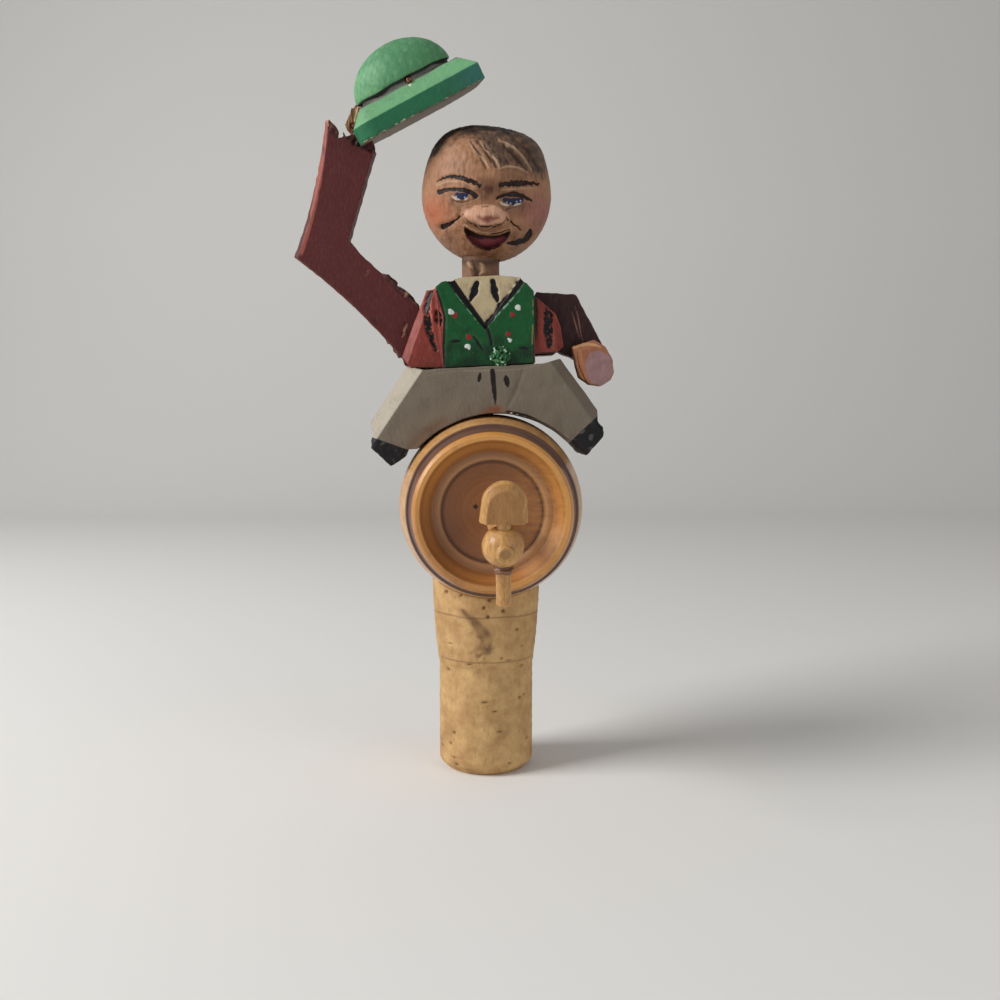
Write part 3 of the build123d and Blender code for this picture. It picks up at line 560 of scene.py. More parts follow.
# Legs. Trousers and shoes sawn from one board, with the outer edges cut back by knife and painted
# stone grey and black. The seat was glued over the barrel, and the glue and bare wood show there.
LEG_CELL = 0.25
PAINT_RELIEF = 0.07               # height of brush marks, here and on the pieces below
LEFT_SHOE_LINE = ((371.5, 437), (407, 449.5))
RIGHT_SHOE_LINE = ((570.4, 441.5), (594.5, 419))
LEFT_SHOE_END = 420
RIGHT_SHOE_FROM = 560
FLY = (((480, 374), (479, 381)), ((492.4, 371), (494.3, 391), (495.6, 405)), ((505.6, 375.5), (508, 387)))
FLY_WIDTHS = ((2.5, 4, 2.5), (5, 5, 4, 1), (1.5, 5.5, 5, 1.5))
SEAT_PATCH = ((481, 414), (494, 409.5), (508, 413))
SEAT_GAP_SHADOW = ((507, 411.5), (526, 416.5), (544, 425))
GLUE_DOTS = ((511, 413.5), (517, 415), (525, 417.5), (531, 420.5))
LEFT_ARCH = ((410, 447), (426, 432), (445, 420))
CREASE = ((523, 371), (517, 388), (508, 406))
HIP_LINE = ((424, 377), (455, 371.5), (480, 370.5), (520, 369), (548, 362))


def beyond_line(seen, start, end, soft=1.0):
    """Cover from 0 to 1 on the right-hand side of a line through two pixels, walking from start to end."""
    run = np.subtract(end, start)
    away = (seen[:, 1] - start[1]) * run[0] - (seen[:, 0] - start[0]) * run[1]
    return held(0.5 + away / np.hypot(*run) / soft)


def faces_viewer(blank, limit=0.35):
    """Cover from 0 to 1 on the faces that look to the front."""
    return held((-blank.facing[:, 1] - limit) / 0.25)


def strokes(seen, paths, widths, soft=1.2):
    """The most cover of several strokes, all with the same widths or each with its own."""
    each = widths if np.ndim(widths[0]) else [widths] * len(paths)
    return most(*[stroke(seen, path, own, soft) for path, own in zip(paths, each)])


# Old hand paint: brush streaks, paint rubbed off proud edges down to wood, dirt in the hollows.
old_paint, inlet, outlet = shared_effect(
    "old_paint", (("Paint", "colour"), ("Bare", "colour"), ("Dirt", "colour"), ("Ridge", "value"),
                  ("Hollow", "value"), ("Wear", "value"), ("Grime", "value"), ("Streaks", "value")),
    (("Colour", "colour"), ("Height", "value"), ("Rubbed", "value")))
brushed = speckle(old_paint, stretched(old_paint, (1, 1, 0.28)), 3.0, 5, 0.65)
cloudy = speckle(old_paint, stretched(old_paint), 0.25, 4, 0.6)
flecks = speckle(old_paint, stretched(old_paint), 2.6, 4, 0.8)
lighter = blend_colour(old_paint, 0.03, inlet["Paint"], (1, 0.94, 0.84, 1))
darker = blend_colour(old_paint, 0.42, inlet["Paint"], inlet["Dirt"])
light_share = times(old_paint, inlet["Streaks"], span(old_paint, brushed, 0.52, 0.72))
dark_share = span(old_paint, plus(old_paint, brushed, cloudy), 1.02, 0.72)
dark_share = times(old_paint, inlet["Streaks"], dark_share)
worn_edges = times(old_paint, inlet["Ridge"], span(old_paint, flecks, 0.3, 0.62))
worn_spots = span(old_paint, plus(old_paint, flecks, cloudy), 1.27, 1.36, 0, 0.8)
worn = times(old_paint, plus(old_paint, worn_edges, worn_spots), inlet["Wear"])
rubbed = span(old_paint, worn, 0.12, 0.5)
feed(old_paint, outlet["Colour"], coated(
    old_paint, inlet["Paint"], (light_share, lighter), (dark_share, darker),
    (times(old_paint, inlet["Hollow"], inlet["Grime"]), inlet["Dirt"]), (rubbed, inlet["Bare"])))
feed(old_paint, outlet["Height"], calculate(old_paint, "SUBTRACT", brushed, rubbed))
feed(old_paint, outlet["Rubbed"], rubbed)


def painted(name, ground, coats, bare, dirt, wear, grime=0.8, streaks=0.8, roughness=0.55):
    """A hand-painted finish: a ground colour, coats of (mark, colour) over it, then old_paint over all.

    A coat keeps a firm, slightly ragged edge; one with a third entry is a thin wash that fades out.
    """
    material, tree, shader = new_material(name, roughness)
    ragged = calculate(tree, "MULTIPLY_ADD", speckle(tree, stretched(tree), 3.2, 3), 0.5, -0.25)
    paint = tone(*ground)
    for mark, chart, *wash in coats:
        cover = mark_of(tree, mark)
        share = span(tree, plus(tree, cover, ragged), 0.3, 0.65)
        share = calculate(tree, "MINIMUM", share, times(tree, cover, 2.5))
        if wash:
            share = times(tree, cover, plus(tree, ragged, 1.0))
        paint = blend_colour(tree, share, paint, tone(*chart))
    aged = place_effect(tree, old_paint, Paint=paint, Bare=tone(*bare), Dirt=tone(*dirt), Wear=wear,
                        Grime=grime, Streaks=streaks, Ridge=mark_of(tree, "ridge"),
                        Hollow=mark_of(tree, "hollow"))
    shader.inputs["Specular IOR Level"].default_value = 0.22
    feed(tree, shader.inputs["Base Color"], aged["Colour"])
    feed(tree, shader.inputs["Roughness"], span(tree, aged["Rubbed"], 0, 1, roughness, 0.8))
    raise_by(tree, shader, aged["Height"], PAINT_RELIEF)
    return material


legs = blank_of("legs", LEG_CELL)
front = faces_viewer(legs)
left_shoe = beyond_line(legs.seen, *LEFT_SHOE_LINE, 1.5) * (legs.seen[:, 0] < LEFT_SHOE_END)
right_shoe = beyond_line(legs.seen, *RIGHT_SHOE_LINE, 1.5) * (legs.seen[:, 0] > RIGHT_SHOE_FROM)
legs.marks["shoe"] = 1 - (1 - left_shoe) * (1 - right_shoe)
# The fly is painted black. The black line along the seat over the barrel is painted shadow in the gap
# between them.
fly_and_gap_shadow = most(strokes(legs.seen, FLY, FLY_WIDTHS), stroke(legs.seen, SEAT_GAP_SHADOW, (2, 4.5, 3), 1.5))
legs.marks["black"] = fly_and_gap_shadow * front
seat = stroke(legs.seen, SEAT_PATCH, (4, 8, 4), 5) * (legs.points[:, 1] < -6)
legs.marks["bare_seat"] = seat * patchy(legs.points, 1.8, 24, 0.5, 0.75)
legs.marks["lit"] = held((-legs.facing[:, 0] - 0.3) / 0.2) * 0.95
legs.marks["rust"] = stroke(legs.seen, LEFT_ARCH, (4, 9, 5), 8) * front * 0.6
legs.marks["glue"] = dabs(legs.seen, GLUE_DOTS, 1.3) * (legs.points[:, 1] < -6)
crease = stroke(legs.seen, CREASE, (1.5, 3.5, 2), 3) * front
hip = stroke(legs.seen, HIP_LINE, (1.5, 2, 1.5), 1.5) * (legs.points[:, 1] < -5)
legs.marks["light"] = hip * 0.8
pare(legs, 0.16 * crease + 0.05 + 0.05 * ripple(legs.points, 5, 21))
pare(legs, 0.12 * legs.marks["shoe"] * patchy(legs.points, 1.4, 22))
legs.marks["scuff"] = legs.marks["shoe"] * patchy(legs.points, 1.7, 23, 0.8, -0.25)
stone_trousers = painted(
    "stone_trousers", (118, 107, 93),
    (("lit", (172, 162, 145), "wash"), ("light", (150, 140, 124)), ("rust", (112, 76, 52), "wash"),
     ("bare_seat", (122, 68, 40), "wash"), ("shoe", (26, 25, 27)), ("scuff", (76, 74, 74)),
     ("black", (26, 20, 18)), ("glue", (206, 198, 184))),
    (140, 104, 74), (62, 52, 44), wear=0.35, streaks=0.55)
finish_piece(legs, "legs_carved", "stopper", stone_trousers)


# Torso. Vest, shirt front and sleeves carved from one block and painted, with a saw slot through
# its middle for the arms. The lapels, sleeve folds and seams are knife cuts run over with black.
TORSO_CELL = 0.17
LEFT_SEAM = ((434, 270), (434.6, 285), (441, 303), (444.5, 318), (443.6, 345), (443, 375))
RIGHT_SEAM = ((534, 375), (534.6, 352), (536.4, 320), (536.8, 291), (536.8, 272))
SEAM_FROM = 290                   # down the picture: the left seam, the shade and the lower edge
SHADE_FROM = 335
VEST_BOTTOM = 366
SHIRT = ((449.5, 268), (449.5, 277), (468.8, 303.5), (484.6, 323.5), (503.3, 302.5), (526, 277.5),
         (526, 268))
LAPELS = (((448.5, 277), (468.5, 304.8), (485, 326)), ((523.5, 279), (502.5, 304), (485, 326.5)))
VEST_EDGE = ((486, 325), (488, 330), (491.5, 345))
LEAVES = (((476.6, 282.5), (474.6, 290), (470.4, 300)), ((492.8, 281), (494.4, 290), (497.8, 301.5)))
LAPEL_LIGHTS = (((520, 290), (503, 309), (489, 324)), ((453, 290), (464, 304), (478, 323)))
FLOWERS = (("white", (450.6, 312), 3.2), ("red", (455, 315), 3.4), ("white", (518, 307.5), 3.4),
           ("red", (512.6, 315), 2.9), ("red", (468.2, 337), 3.4), ("white", (467.4, 346.3), 3.4),
           ("red", (508.2, 334.4), 2.9), ("white", (510.2, 340.4), 2.4))
POCKETS = (((450, 342), (460, 340.5)), ((519, 348), (529, 348)), ((474, 337), (483, 350)))
LEFT_FOLDS = (((431.5, 288), (426.4, 312), (429.6, 332), (435.5, 349)), ((437, 311), (439.8, 324)))
OLIVE_EDGE = ((533, 300), (533, 320), (532, 350))
RIGHT_FOLDS = (((552, 300), (548.5, 322), (550, 346)),)
SLEEVE_LIGHTS = (((423, 290), (411, 322), (401, 354)), ((434.5, 288), (441, 306), (443, 340)),
                 ((540.5, 294), (556.6, 314), (565.3, 343)), ((429.5, 300), (431.5, 330)))


def left_of(seen, path, soft=1.2):
    """Cover from 0 to 1 on the left of a seam that runs down the picture through pixels."""
    path = np.array(sorted(path, key=lambda place: place[1]), float)
    return held(0.5 + (np.interp(seen[:, 1], path[:, 1], path[:, 0]) - seen[:, 0]) / soft)


def inside(seen, outline, soft=1.2):
    """Cover from 0 to 1 inside an outline: distance to its nearest side, signed by counting crossings."""
    ends = np.array(outline, float)
    starts = np.roll(ends, 1, axis=0)
    run = ends - starts
    away = seen[:, None, :] - starts
    share = held((away * run).sum(2) / (run ** 2).sum(1))
    near = np.hypot(*(away - share[..., None] * run).transpose(2, 0, 1)).min(axis=1)
    rises = (starts[:, 1] > seen[:, 1, None]) != (ends[:, 1] > seen[:, 1, None])
    slope = run[:, 0] / np.where(run[:, 1] == 0, 1, run[:, 1])
    crossing = starts[:, 0] + (seen[:, 1, None] - starts[:, 1]) * slope
    within = (rises & (seen[:, 0, None] < crossing)).sum(axis=1) % 2 == 1
    return held(0.5 + np.where(within, near, -near) / soft)


torso = blank_of("torso", TORSO_CELL)
front = faces_viewer(torso, 0.2)
sleeves = most(left_of(torso.seen, LEFT_SEAM), 1 - left_of(torso.seen, RIGHT_SEAM))
bottom = held((torso.seen[:, 1] - VEST_BOTTOM) / 2) * (torso.points[:, 1] < 0)
shirt = inside(torso.seen, SHIRT) * (torso.points[:, 1] < -3)
shirt_top = (1 - sleeves) * (torso.facing[:, 2] > 0.7) * (np.abs(torso.points[:, 0] + 1) < 7)
shaky = torso.seen + 0.4 * ripple(torso.points, 1.2, 37)[:, None]
lapels = strokes(shaky, LAPELS, (7.4, 6, 3.8)) * (torso.points[:, 1] < -5)
leaves = strokes(shaky, LEAVES, (5, 8, 3)) * front
left_folds = strokes(shaky, LEFT_FOLDS, (3, 7.5, 7.5, 4), 2)
folds = most(left_folds, strokes(shaky, RIGHT_FOLDS, (4, 11, 10, 5), 2)) * front
left_seam, right_seam = (held(1 - np.abs(left_of(torso.seen, path, 6) * 2 - 1)) * front
                         for path in (LEFT_SEAM, RIGHT_SEAM))
seams = most(left_seam * (torso.seen[:, 1] > SEAM_FROM), right_seam)
pockets = strokes(shaky, POCKETS, (2, 3.4, 2), 1.6) * front
edge = stroke(torso.seen, VEST_EDGE, (3, 3, 2.5)) * front
edge_light = strokes(torso.seen, LAPEL_LIGHTS, (1, 2, 1)) * front
sleeve_light = strokes(torso.seen, SLEEVE_LIGHTS, (2, 3, 2), 2.2) * (torso.points[:, 1] < -3)
lower = held((torso.seen[:, 1] - SHADE_FROM) / 30 + 0.3 * ripple(torso.points, 3, 35))
olive = stroke(torso.seen, OLIVE_EDGE, (1.4, 2.2, 1.4)) * front
torso.marks = {
    "vest": 1 - sleeves, "shirt": most(shirt, shirt_top),
    "black": most(lapels, leaves, edge, pockets * 0.75, folds * patchy(torso.points, 0.8, 38, 0.35, 0.75)),
    "edge_light": edge_light * (ripple(torso.points, 1.2, 31) > -0.3),
    "salmon": sleeve_light * patchy(torso.points, 2, 32, 0.5, 0.8),
    "seam": most(seams * 0.85, bottom * 0.6),
    "shade": front * lower * (0.75 - 0.5 * sleeves),
    "olive": olive * patchy(torso.points, 1.5, 36, 1, 0.7),
}
dappled = torso.seen + 0.6 * ripple(torso.points, 0.8, 33)[:, None]
for colour in ("white", "red"):
    torso.marks[colour] = front * most(*[dot(dappled, place, radius * 0.85, 1.4)
                                         for kind, place, radius in FLOWERS if kind == colour])
cut = 0.42 * folds + 0.26 * lapels + 0.2 * edge + 0.3 * leaves + 0.22 * seams + 0.12 * pockets
cut -= 0.12 * (torso.marks["white"] + torso.marks["red"])
pare(torso, cut + 0.13 + 0.04 * ripple(torso.points, 2.5, 34) * front)
festive_vest = painted(
    "festive_vest", (138, 60, 50),
    (("salmon", (196, 110, 86), "wash"), ("vest", (18, 80, 40)), ("shade", (16, 30, 22), "wash"),
     ("seam", (30, 20, 20)), ("shirt", (186, 168, 134)), ("edge_light", (104, 150, 112)),
     ("olive", (120, 110, 62)), ("black", (14, 13, 18)), ("red", (140, 34, 38)),
     ("white", (206, 212, 204))),
    (170, 130, 98), (36, 26, 24), wear=0.5, grime=0.75, streaks=0.7, roughness=0.42)
finish_piece(torso, "torso_carved", "stopper", festive_vest)


# Waist knot. A little carved knob of wood, glued half sunk in the vest. It was stippled green,
# with dabs of white and black over that.
KNOT_CELL = 0.07
KNOT_SWELL = 1.16
knot = blank_of("waist_knot", KNOT_CELL, 1)
bumps = np.clip(ripple(knot.points, 0.7, 41), -1.2, 1.2)
middle = centre_of("waist_knot")
knot.points = (knot.points - middle) * KNOT_SWELL + middle
pare(knot, 0.2 - 0.2 * bumps)
knot.marks["white"] = held(bumps * 0.9 - 0.4 + 0.3 * ripple(knot.points, 1.4, 42))
knot.marks["black"] = held(-bumps - 0.2)
stippled_green = painted(
    "stippled_green", (44, 96, 54), (("black", (10, 18, 14)), ("white", (186, 204, 184))),
    (150, 120, 90), (18, 26, 20), wear=0.1, grime=0.5, streaks=0.3, roughness=0.45)
finish_piece(knot, "waist_knot_carved", "stopper", stippled_green)


# Neck. A short turned dowel glued between torso and head and stained brown. A dark check runs down
# the front of it to a point, and two pale drips stand beside it above the collar.
NECK_CELL = 0.16
NECK_CHECK = ((473, 262), (476, 270), (478.5, 281))
NECK_FLAKE = ((481.5, 264), (483.4, 269), (481, 275))
NECK_DRIP = ((467.5, 262.5), (470, 265), (472.5, 268))
CHIN_SHADE = ((460, 261), (480, 263), (500, 261))
neck = blank_of("neck", NECK_CELL)
neck_seen = neck.seen + 0.8 * ripple(neck.points, 1.1, 52)[:, None]
cracks = stroke(neck_seen, NECK_CHECK, (3, 7, 9), 4) * (neck.points[:, 1] < 0)
under_chin = stroke(neck.seen, CHIN_SHADE, (6, 8, 6), 5)
neck.marks["dark"] = most(cracks * 0.9, 0.7 * under_chin)
neck.marks["blob"] = strokes(neck_seen, (NECK_DRIP, NECK_FLAKE), (2.5, 4.5, 2.5), 2.5)
neck.marks["blob"] *= neck.points[:, 1] < 0
turned = ripple(neck.points * (1, 1, 0.2), 1.4, 51)
pare(neck, 0.3 * cracks - 0.25 * neck.marks["blob"] + 0.05 * turned)
stained_neck = painted(
    "stained_neck", (128, 94, 72), (("dark", (54, 34, 26), "wash"), ("blob", (160, 130, 100), "wash")),
    (176, 140, 104), (58, 36, 26), wear=0.3, grime=0.7, streaks=1.0, roughness=0.5)
finish_piece(neck, "neck_turned", "stopper", stained_neck)


# Head. A turned ball of wood with a flat top, carved, painted and glued on the neck. The nose stands
# proud and the mouth is cut in. Brows, lids and laugh lines are knife cuts filled with dark paint.
HEAD_CELL = 0.155
HEAD_SHOULDERS = ((-36, 25, 1.4), (43, 20, 1.3), (5, 19, 0.3))     # way from straight up, half width, rise
HAIR = ((440, 112), (548, 112), (556, 160), (543, 178), (529, 172), (513, 165), (500, 168), (492, 160),
        (481, 142), (462, 137), (452, 135))
CURLS = (((471, 143), (480, 155), (486, 167)), ((485, 145), (492, 156), (497, 167)),
         ((504, 145), (514, 156), (526, 169)), ((512, 141), (526, 152), (539, 171)),
         ((478, 142), (486, 150), (491, 161)))
CURL_LIGHTS = (((470, 143), (475, 151), (482, 158), (488.5, 167)),
               ((481, 143), (488.5, 152), (495.7, 159), (499.5, 169)),
               ((499, 140), (518.8, 154.5), (531, 170.5)), ((500, 168.5), (513, 166.8), (527, 172)))
BROWS = (((437, 181.5), (448, 176.3), (462, 177.6), (480, 185)), ((501, 185), (518, 183), (540, 183.5)))
BROW_WIDTHS = ((1.2, 3, 4.6, 4.4), (4.6, 6.2, 2.2))
BROW_LIGHTS = (((437, 186), (450, 181.5), (466, 183.5), (477, 189)),
               ((502, 190), (518, 188.5), (536, 188)))
LIDS = (((438.5, 192), (450, 189.5), (465, 190.6), (476, 196.4)),
        ((496.8, 198.5), (513.5, 194), (532, 200.8)))
LID_WIDTHS = ((5.4, 3.4, 4.2, 5), (2.4, 5, 2.4))
UNDER_LIDS = (((450, 199.5), (461, 202.2), (474, 199)), ((499, 203), (513, 208), (529, 204), (531.6, 210)))
EYE_WHITES = (((452, 196), (455, 198.6), (459.5, 199.6)), ((464, 199.4), (467, 198)),
              ((500.5, 202), (504, 204.6), (509, 205.6)), ((515, 205.4), (521, 204)))
IRISES = (((456.5, 194.4), (460, 196), (466, 195)), ((505, 200), (513, 201.4), (522, 199.6)))
GLINTS = ((455.6, 196.4), (464, 197.6), (507, 202.4), (511.5, 203.6), (517.5, 202), (521, 200.6))
LAUGH = (((462.5, 214), (455, 221), (441.5, 228)), ((507.4, 217), (514, 225), (523.5, 232)))
LAUGH_WIDTHS = ((1.2, 2, 6), (1.2, 1.4, 1.0))
CHEEK_CRESCENT = ((531.6, 231), (529.4, 238), (519, 243.5), (508, 244.5))
NOSE_SHADOW = ((463.8, 218), (470, 224), (485, 226.6), (500, 225.4), (507.4, 218))
LIT_LIP_LINE = ((464, 226.5), (486.5, 235), (511, 229))
LOWER_LIP = ((470, 240), (487, 245.5), (504, 240))
NOSE_RED = ((478, 217), (487, 219.5), (497, 217.5))
MOUTH = ((463.5, 226.5), (474, 232.4), (487, 234.6), (500, 232.5), (511, 229), (507, 239), (498, 247),
         (487, 250), (475, 246), (467, 238))
NOSE_AT = (485.6, 215.2)
NOSE_HALF = (22.6, 10.4)
LEFT_CHEEK = (434, 213)
RIGHT_CHEEK = (541, 214)
CHEEK_FOLDS = (((463, 212), (455, 221), (441, 229)), ((507, 216), (516, 227), (529, 237), (520, 244)))
CHEEK_FOLD_WIDTHS = ((3, 6, 8), (3, 5, 9, 5))
RIM_SHADOW_END = (523, 175)              # where the dark rim of the flat top fades, to the right and downward
HAIR_BACK = 87                    # height of the hair line on the back, in millimetres
SHADES = (((489, 189), 8, 17, 1.1), ((462, 199), 10, 14, 0.42), ((515, 203), 12, 14, 0.5),
          ((487, 258), 14, 16, 0.6), ((516, 240), 8, 14, 0.55), ((450, 236), 7, 14, 0.4),
          ((514, 177), 14, 20, 0.35), ((487, 226), 12, 9, 0.5),
          ((545, 228), 6, 22, 0.45))        # place, radius, softness, strength
head = blank_of("head", HEAD_CELL)
front = faces_viewer(head, 0.05)
toward = -head.facing[:, 1]
wander = np.stack([ripple(head.points, 1.3, 61), ripple(head.points, 1.3, 62)], axis=1) * 0.35
seen = head.seen + wander
fine_lines = ripple(head.points * (1, 1, 0.18), 0.75, 63)
blotches = ripple(head.points, 2.4, 65)
bristles = np.stack([np.zeros(len(seen)), 0.65 * ripple(head.points * (1, 1, 0.12), 0.55, 64)], axis=1)
brows = strokes(seen + bristles, BROWS, BROW_WIDTHS, 1)
lids = strokes(seen, LIDS, LID_WIDTHS, 1)
under = strokes(seen, UNDER_LIDS, (1, 1.6, 1.2, 1))
laughs = most(strokes(seen, LAUGH, LAUGH_WIDTHS, 1), stroke(seen, CHEEK_CRESCENT, (3, 7, 6, 3)))
curls = strokes(seen, CURLS, (1.5, 3.6, 1.5), 2)
curl_lights = strokes(seen, CURL_LIGHTS, (1, 2, 1.4, 1), 1.6)
# Painted shadow over the upper left of the head: dark along the rim of the flat top, darkest where the
# surface turns away from the camera.
rim_shadow = held((0.68 + 0.05 * blotches - toward) / 0.2) * held((head.facing[:, 2] - 0.4) / 0.1)
rim_shadow *= held((RIM_SHADOW_END[0] - head.seen[:, 0]) / 16) * held((RIM_SHADOW_END[1] - head.seen[:, 1]) / 8)
crown = head.facing[:, 2] > 0.8
behind = held((head.points[:, 1] - 1) / 2.5) * held((head.points[:, 2] - HAIR_BACK + 1.6 * blotches) / 6)
hair = inside(seen, HAIR, 9) * front
mouth = inside(seen, MOUTH, 1.4) * front
# The lit band of the upper lip, a painted highlight.
lip = stroke(seen, LIT_LIP_LINE, (2, 3.4, 2), 2)
nose_place = (head.seen - NOSE_AT) / NOSE_HALF
nose_away = np.hypot(*nose_place.T)
nose = held(0.5 + (1 - nose_away) * 4) * front
shade = sum(dot(head.seen, place, radius, soft) * strength for place, radius, soft, strength in SHADES)
nose_red = stroke(seen + blotches[:, None], NOSE_RED, (2.5, 7, 3), 4)
# Painted shadow under the nose, laid in with the same dark as the brows and lids.
nose_shadow = stroke(seen, NOSE_SHADOW, (1, 2.4, 3, 2.4, 1), 2)
head.marks = {
    "tan": held(0.35 * fine_lines + 0.35 * blotches) * 0.6,
    "blush": dot(head.seen, LEFT_CHEEK, 9, 30) * 0.8 * (1 - nose),
    "pink": dot(head.seen, RIGHT_CHEEK, 13, 30) * 0.85,
    "shade": held(shade * (1 + 0.25 * blotches)) * front * (1 - nose),
    "hair": most(hair * held(0.9 + 0.2 * blotches), behind * 0.9),
    # The darkest hair paint also carries the painted shadow on the rim of the flat top.
    "hair_dark_and_shadow": most(rim_shadow * 0.97, curls * front * 0.65, crown * 0.7, behind * held(0.3 + 0.3 * fine_lines),
                      hair * np.clip(fine_lines - 0.5, 0, 0.5)),
    # Pale holds painted highlights on the curls, along the brows and on the upper lip.
    "pale": most(curl_lights * 0.75, strokes(seen, BROW_LIGHTS, (1, 2, 1.2, 1)) * 0.5, lip * 0.8) * front,
    "nose": nose * 0.95, "nose_red": nose_red * nose * 0.9,
    "mouth": mouth, "lower_lip": stroke(seen, LOWER_LIP, (5, 10, 5), 2.5) * mouth,
    "white": strokes(seen, EYE_WHITES, (1.2, 2.6, 1.4)) * front,
    "blue": strokes(seen, IRISES, (4.6, 7, 4.2)) * front, "glint": dabs(seen, GLINTS, 0.9) * front,
    "dark": most(brows, lids, under * 0.6, laughs, nose_shadow * 0.75) * front,
}
way = head.points - centre_of("head")
up = np.degrees(np.arctan2(way[:, 0], way[:, 2]))
outward = way / np.linalg.norm(way, axis=1)[:, None]
level = np.hypot(outward[:, 0], outward[:, 2]) ** 2
for lean, spread, rise in HEAD_SHOULDERS:
    head.points += outward * (rise * level * np.exp(-((up - lean) / spread) ** 2))[:, None]
head.ridge *= 1 - nose
head.hollow *= held((nose_away - 1.15) * 4) * (1 - 0.7 * stroke(seen, LIT_LIP_LINE, (6, 8, 6), 4))
tip = head.points[nose_away < 1, 1].min()
base = np.median(head.points[(nose_away > 1.02) & (nose_away < 1.15) & (toward > 0.3), 1])
dome = base + (tip - base) * np.sqrt(held(1 - nose_away ** 2)) * (0.9 + 0.05 * blotches)
nose_front = (nose_away < 1) & (head.points[:, 1] < base + 1.5)
head.points[:, 1] = np.where(nose_front, np.minimum(head.points[:, 1], dome), head.points[:, 1])
for _ in range(12):
    head.points[nose_front] = neighbour_mean(head.points, head.edges)[nose_front]
folds = strokes(seen, CHEEK_FOLDS, CHEEK_FOLD_WIDTHS, 5)
cut = 0.3 * brows + 0.28 * lids + 0.16 * under + 0.4 * laughs + 0.36 * curls + 0.2 * mouth + 0.25 * folds
cut -= 0.18 * curl_lights + 0.14 * lip + 0.08 * strokes(seen, BROW_LIGHTS, (2, 3, 2), 2) + 0.05 * blotches
pare(head, cut * front * (1 - nose) + 0.16 + 0.035 * fine_lines)
rosy_skin = painted(
    "rosy_skin", (162, 118, 88),
    (("tan", (112, 74, 50), "wash"), ("blush", (184, 94, 64), "wash"), ("pink", (152, 94, 92), "wash"),
     ("shade", (84, 52, 38), "wash"), ("nose", (206, 158, 130), "wash"),
     ("nose_red", (118, 56, 48), "wash"), ("hair", (88, 68, 56), "wash"),
     ("hair_dark_and_shadow", (24, 17, 15), "wash"), ("pale", (196, 162, 128), "wash"),
     ("white", (192, 178, 160)), ("blue", (28, 36, 66)), ("glint", (150, 168, 196)),
     ("mouth", (34, 15, 17)), ("lower_lip", (134, 62, 70), "wash"), ("dark", (32, 20, 17))),
    (184, 142, 108), (70, 42, 30), wear=0.35, grime=0.75, streaks=0.75, roughness=0.5)
finish_piece(head, "head_carved", "stopper", rosy_skin)


# Hat arm. Upper arm and forearm sawn in one flat board and painted maroon, on a pin in the slot.
# The hand has snapped off at the wrist, the sawn edges are splintered, and wood shows in the chips.
ARM_CELL = 0.19
ARM_SPLINTERS = (((384, 273), (389, 279), (395, 286)), ((396, 289), (407, 297), (419, 306)),
                 ((369, 329), (377, 336), (387, 344)), ((387, 347), (393, 352), (399, 357)),
                 ((372, 318), (376, 324)), ((403, 326), (408, 335)))
ARM_CHIP = ((406, 324), (404, 331), (402, 337))
LIT_OUTER_STRIP = ((325.5, 118), (323, 150), (317.5, 190), (312, 215), (300, 258))
WRIST_BREAK = ((326, 118), (333, 128), (336, 137), (342, 133), (350, 138), (358, 140), (370, 147))
FRACTURE = ((352, 141), (362, 145), (375, 150))


def chipped(blank, cover, depth, wave, seed):
    """Takes uneven bites out of a piece: a depth times the cover and an uneven field."""
    bites = np.clip(ripple(blank.points, wave, seed) * 0.7 + 0.5, 0, 1.4)
    pare(blank, depth * cover * bites)


arm = blank_of("hat_arm", ARM_CELL)
front = faces_viewer(arm, 0.5)
on_edge = 1 - np.abs(arm.facing[:, 1]) > 0.25
# The salmon strip down the outer edge is a painted highlight on the edge that faces the light.
lit_strip = stroke(arm.seen, LIT_OUTER_STRIP, (4, 5.5, 6, 5, 4), 1.2) * (arm.points[:, 1] < -0.5)
splinters = strokes(arm.seen, ARM_SPLINTERS, (3, 5, 3), 2)
chip = stroke(arm.seen, ARM_CHIP, (2, 2.6, 1.5), 1.5) * (arm.points[:, 1] < 0)
broken = stroke(arm.seen, WRIST_BREAK, (3, 4.5, 4.5, 4, 4), 2)
fracture = stroke(arm.seen, FRACTURE, (4, 7, 5), 2.5)
torn = 0.5 * splinters * patchy(arm.points, 1.6, 72)
arm.marks = {"salmon": lit_strip * patchy(arm.points, 3, 71, 0.5, 0.8),
             "chip": most(torn, chip * 0.8, broken * on_edge),
             "dark": most(splinters * 0.55, fracture * 0.8, broken * 0.5 * front)}
sawn = ripple(arm.points * (1, 0.25, 1), 1.6, 73) * on_edge
pare(arm, 0.05 + 0.05 * sawn + 0.02 * ripple(arm.points, 6, 74))
chipped(arm, held(0.8 * broken + 0.8 * fracture + 0.6 * chip), 0.42, 1.1, 75)
slivers = np.clip(ripple(arm.points, 2.6, 76) * 0.8 + 0.7, 0, 1.3)
pare(arm, -0.62 * splinters * on_edge * slivers)
maroon_board = painted(
    "maroon_board", (86, 38, 38),
    (("salmon", (144, 76, 64)), ("dark", (40, 22, 22), "wash"), ("chip", (168, 122, 98))),
    (184, 124, 104), (44, 26, 26), wear=0.55, grime=0.6, streaks=0.6, roughness=0.5)
finish_piece(arm, "hat_arm_board", "hat_arm", maroon_board)


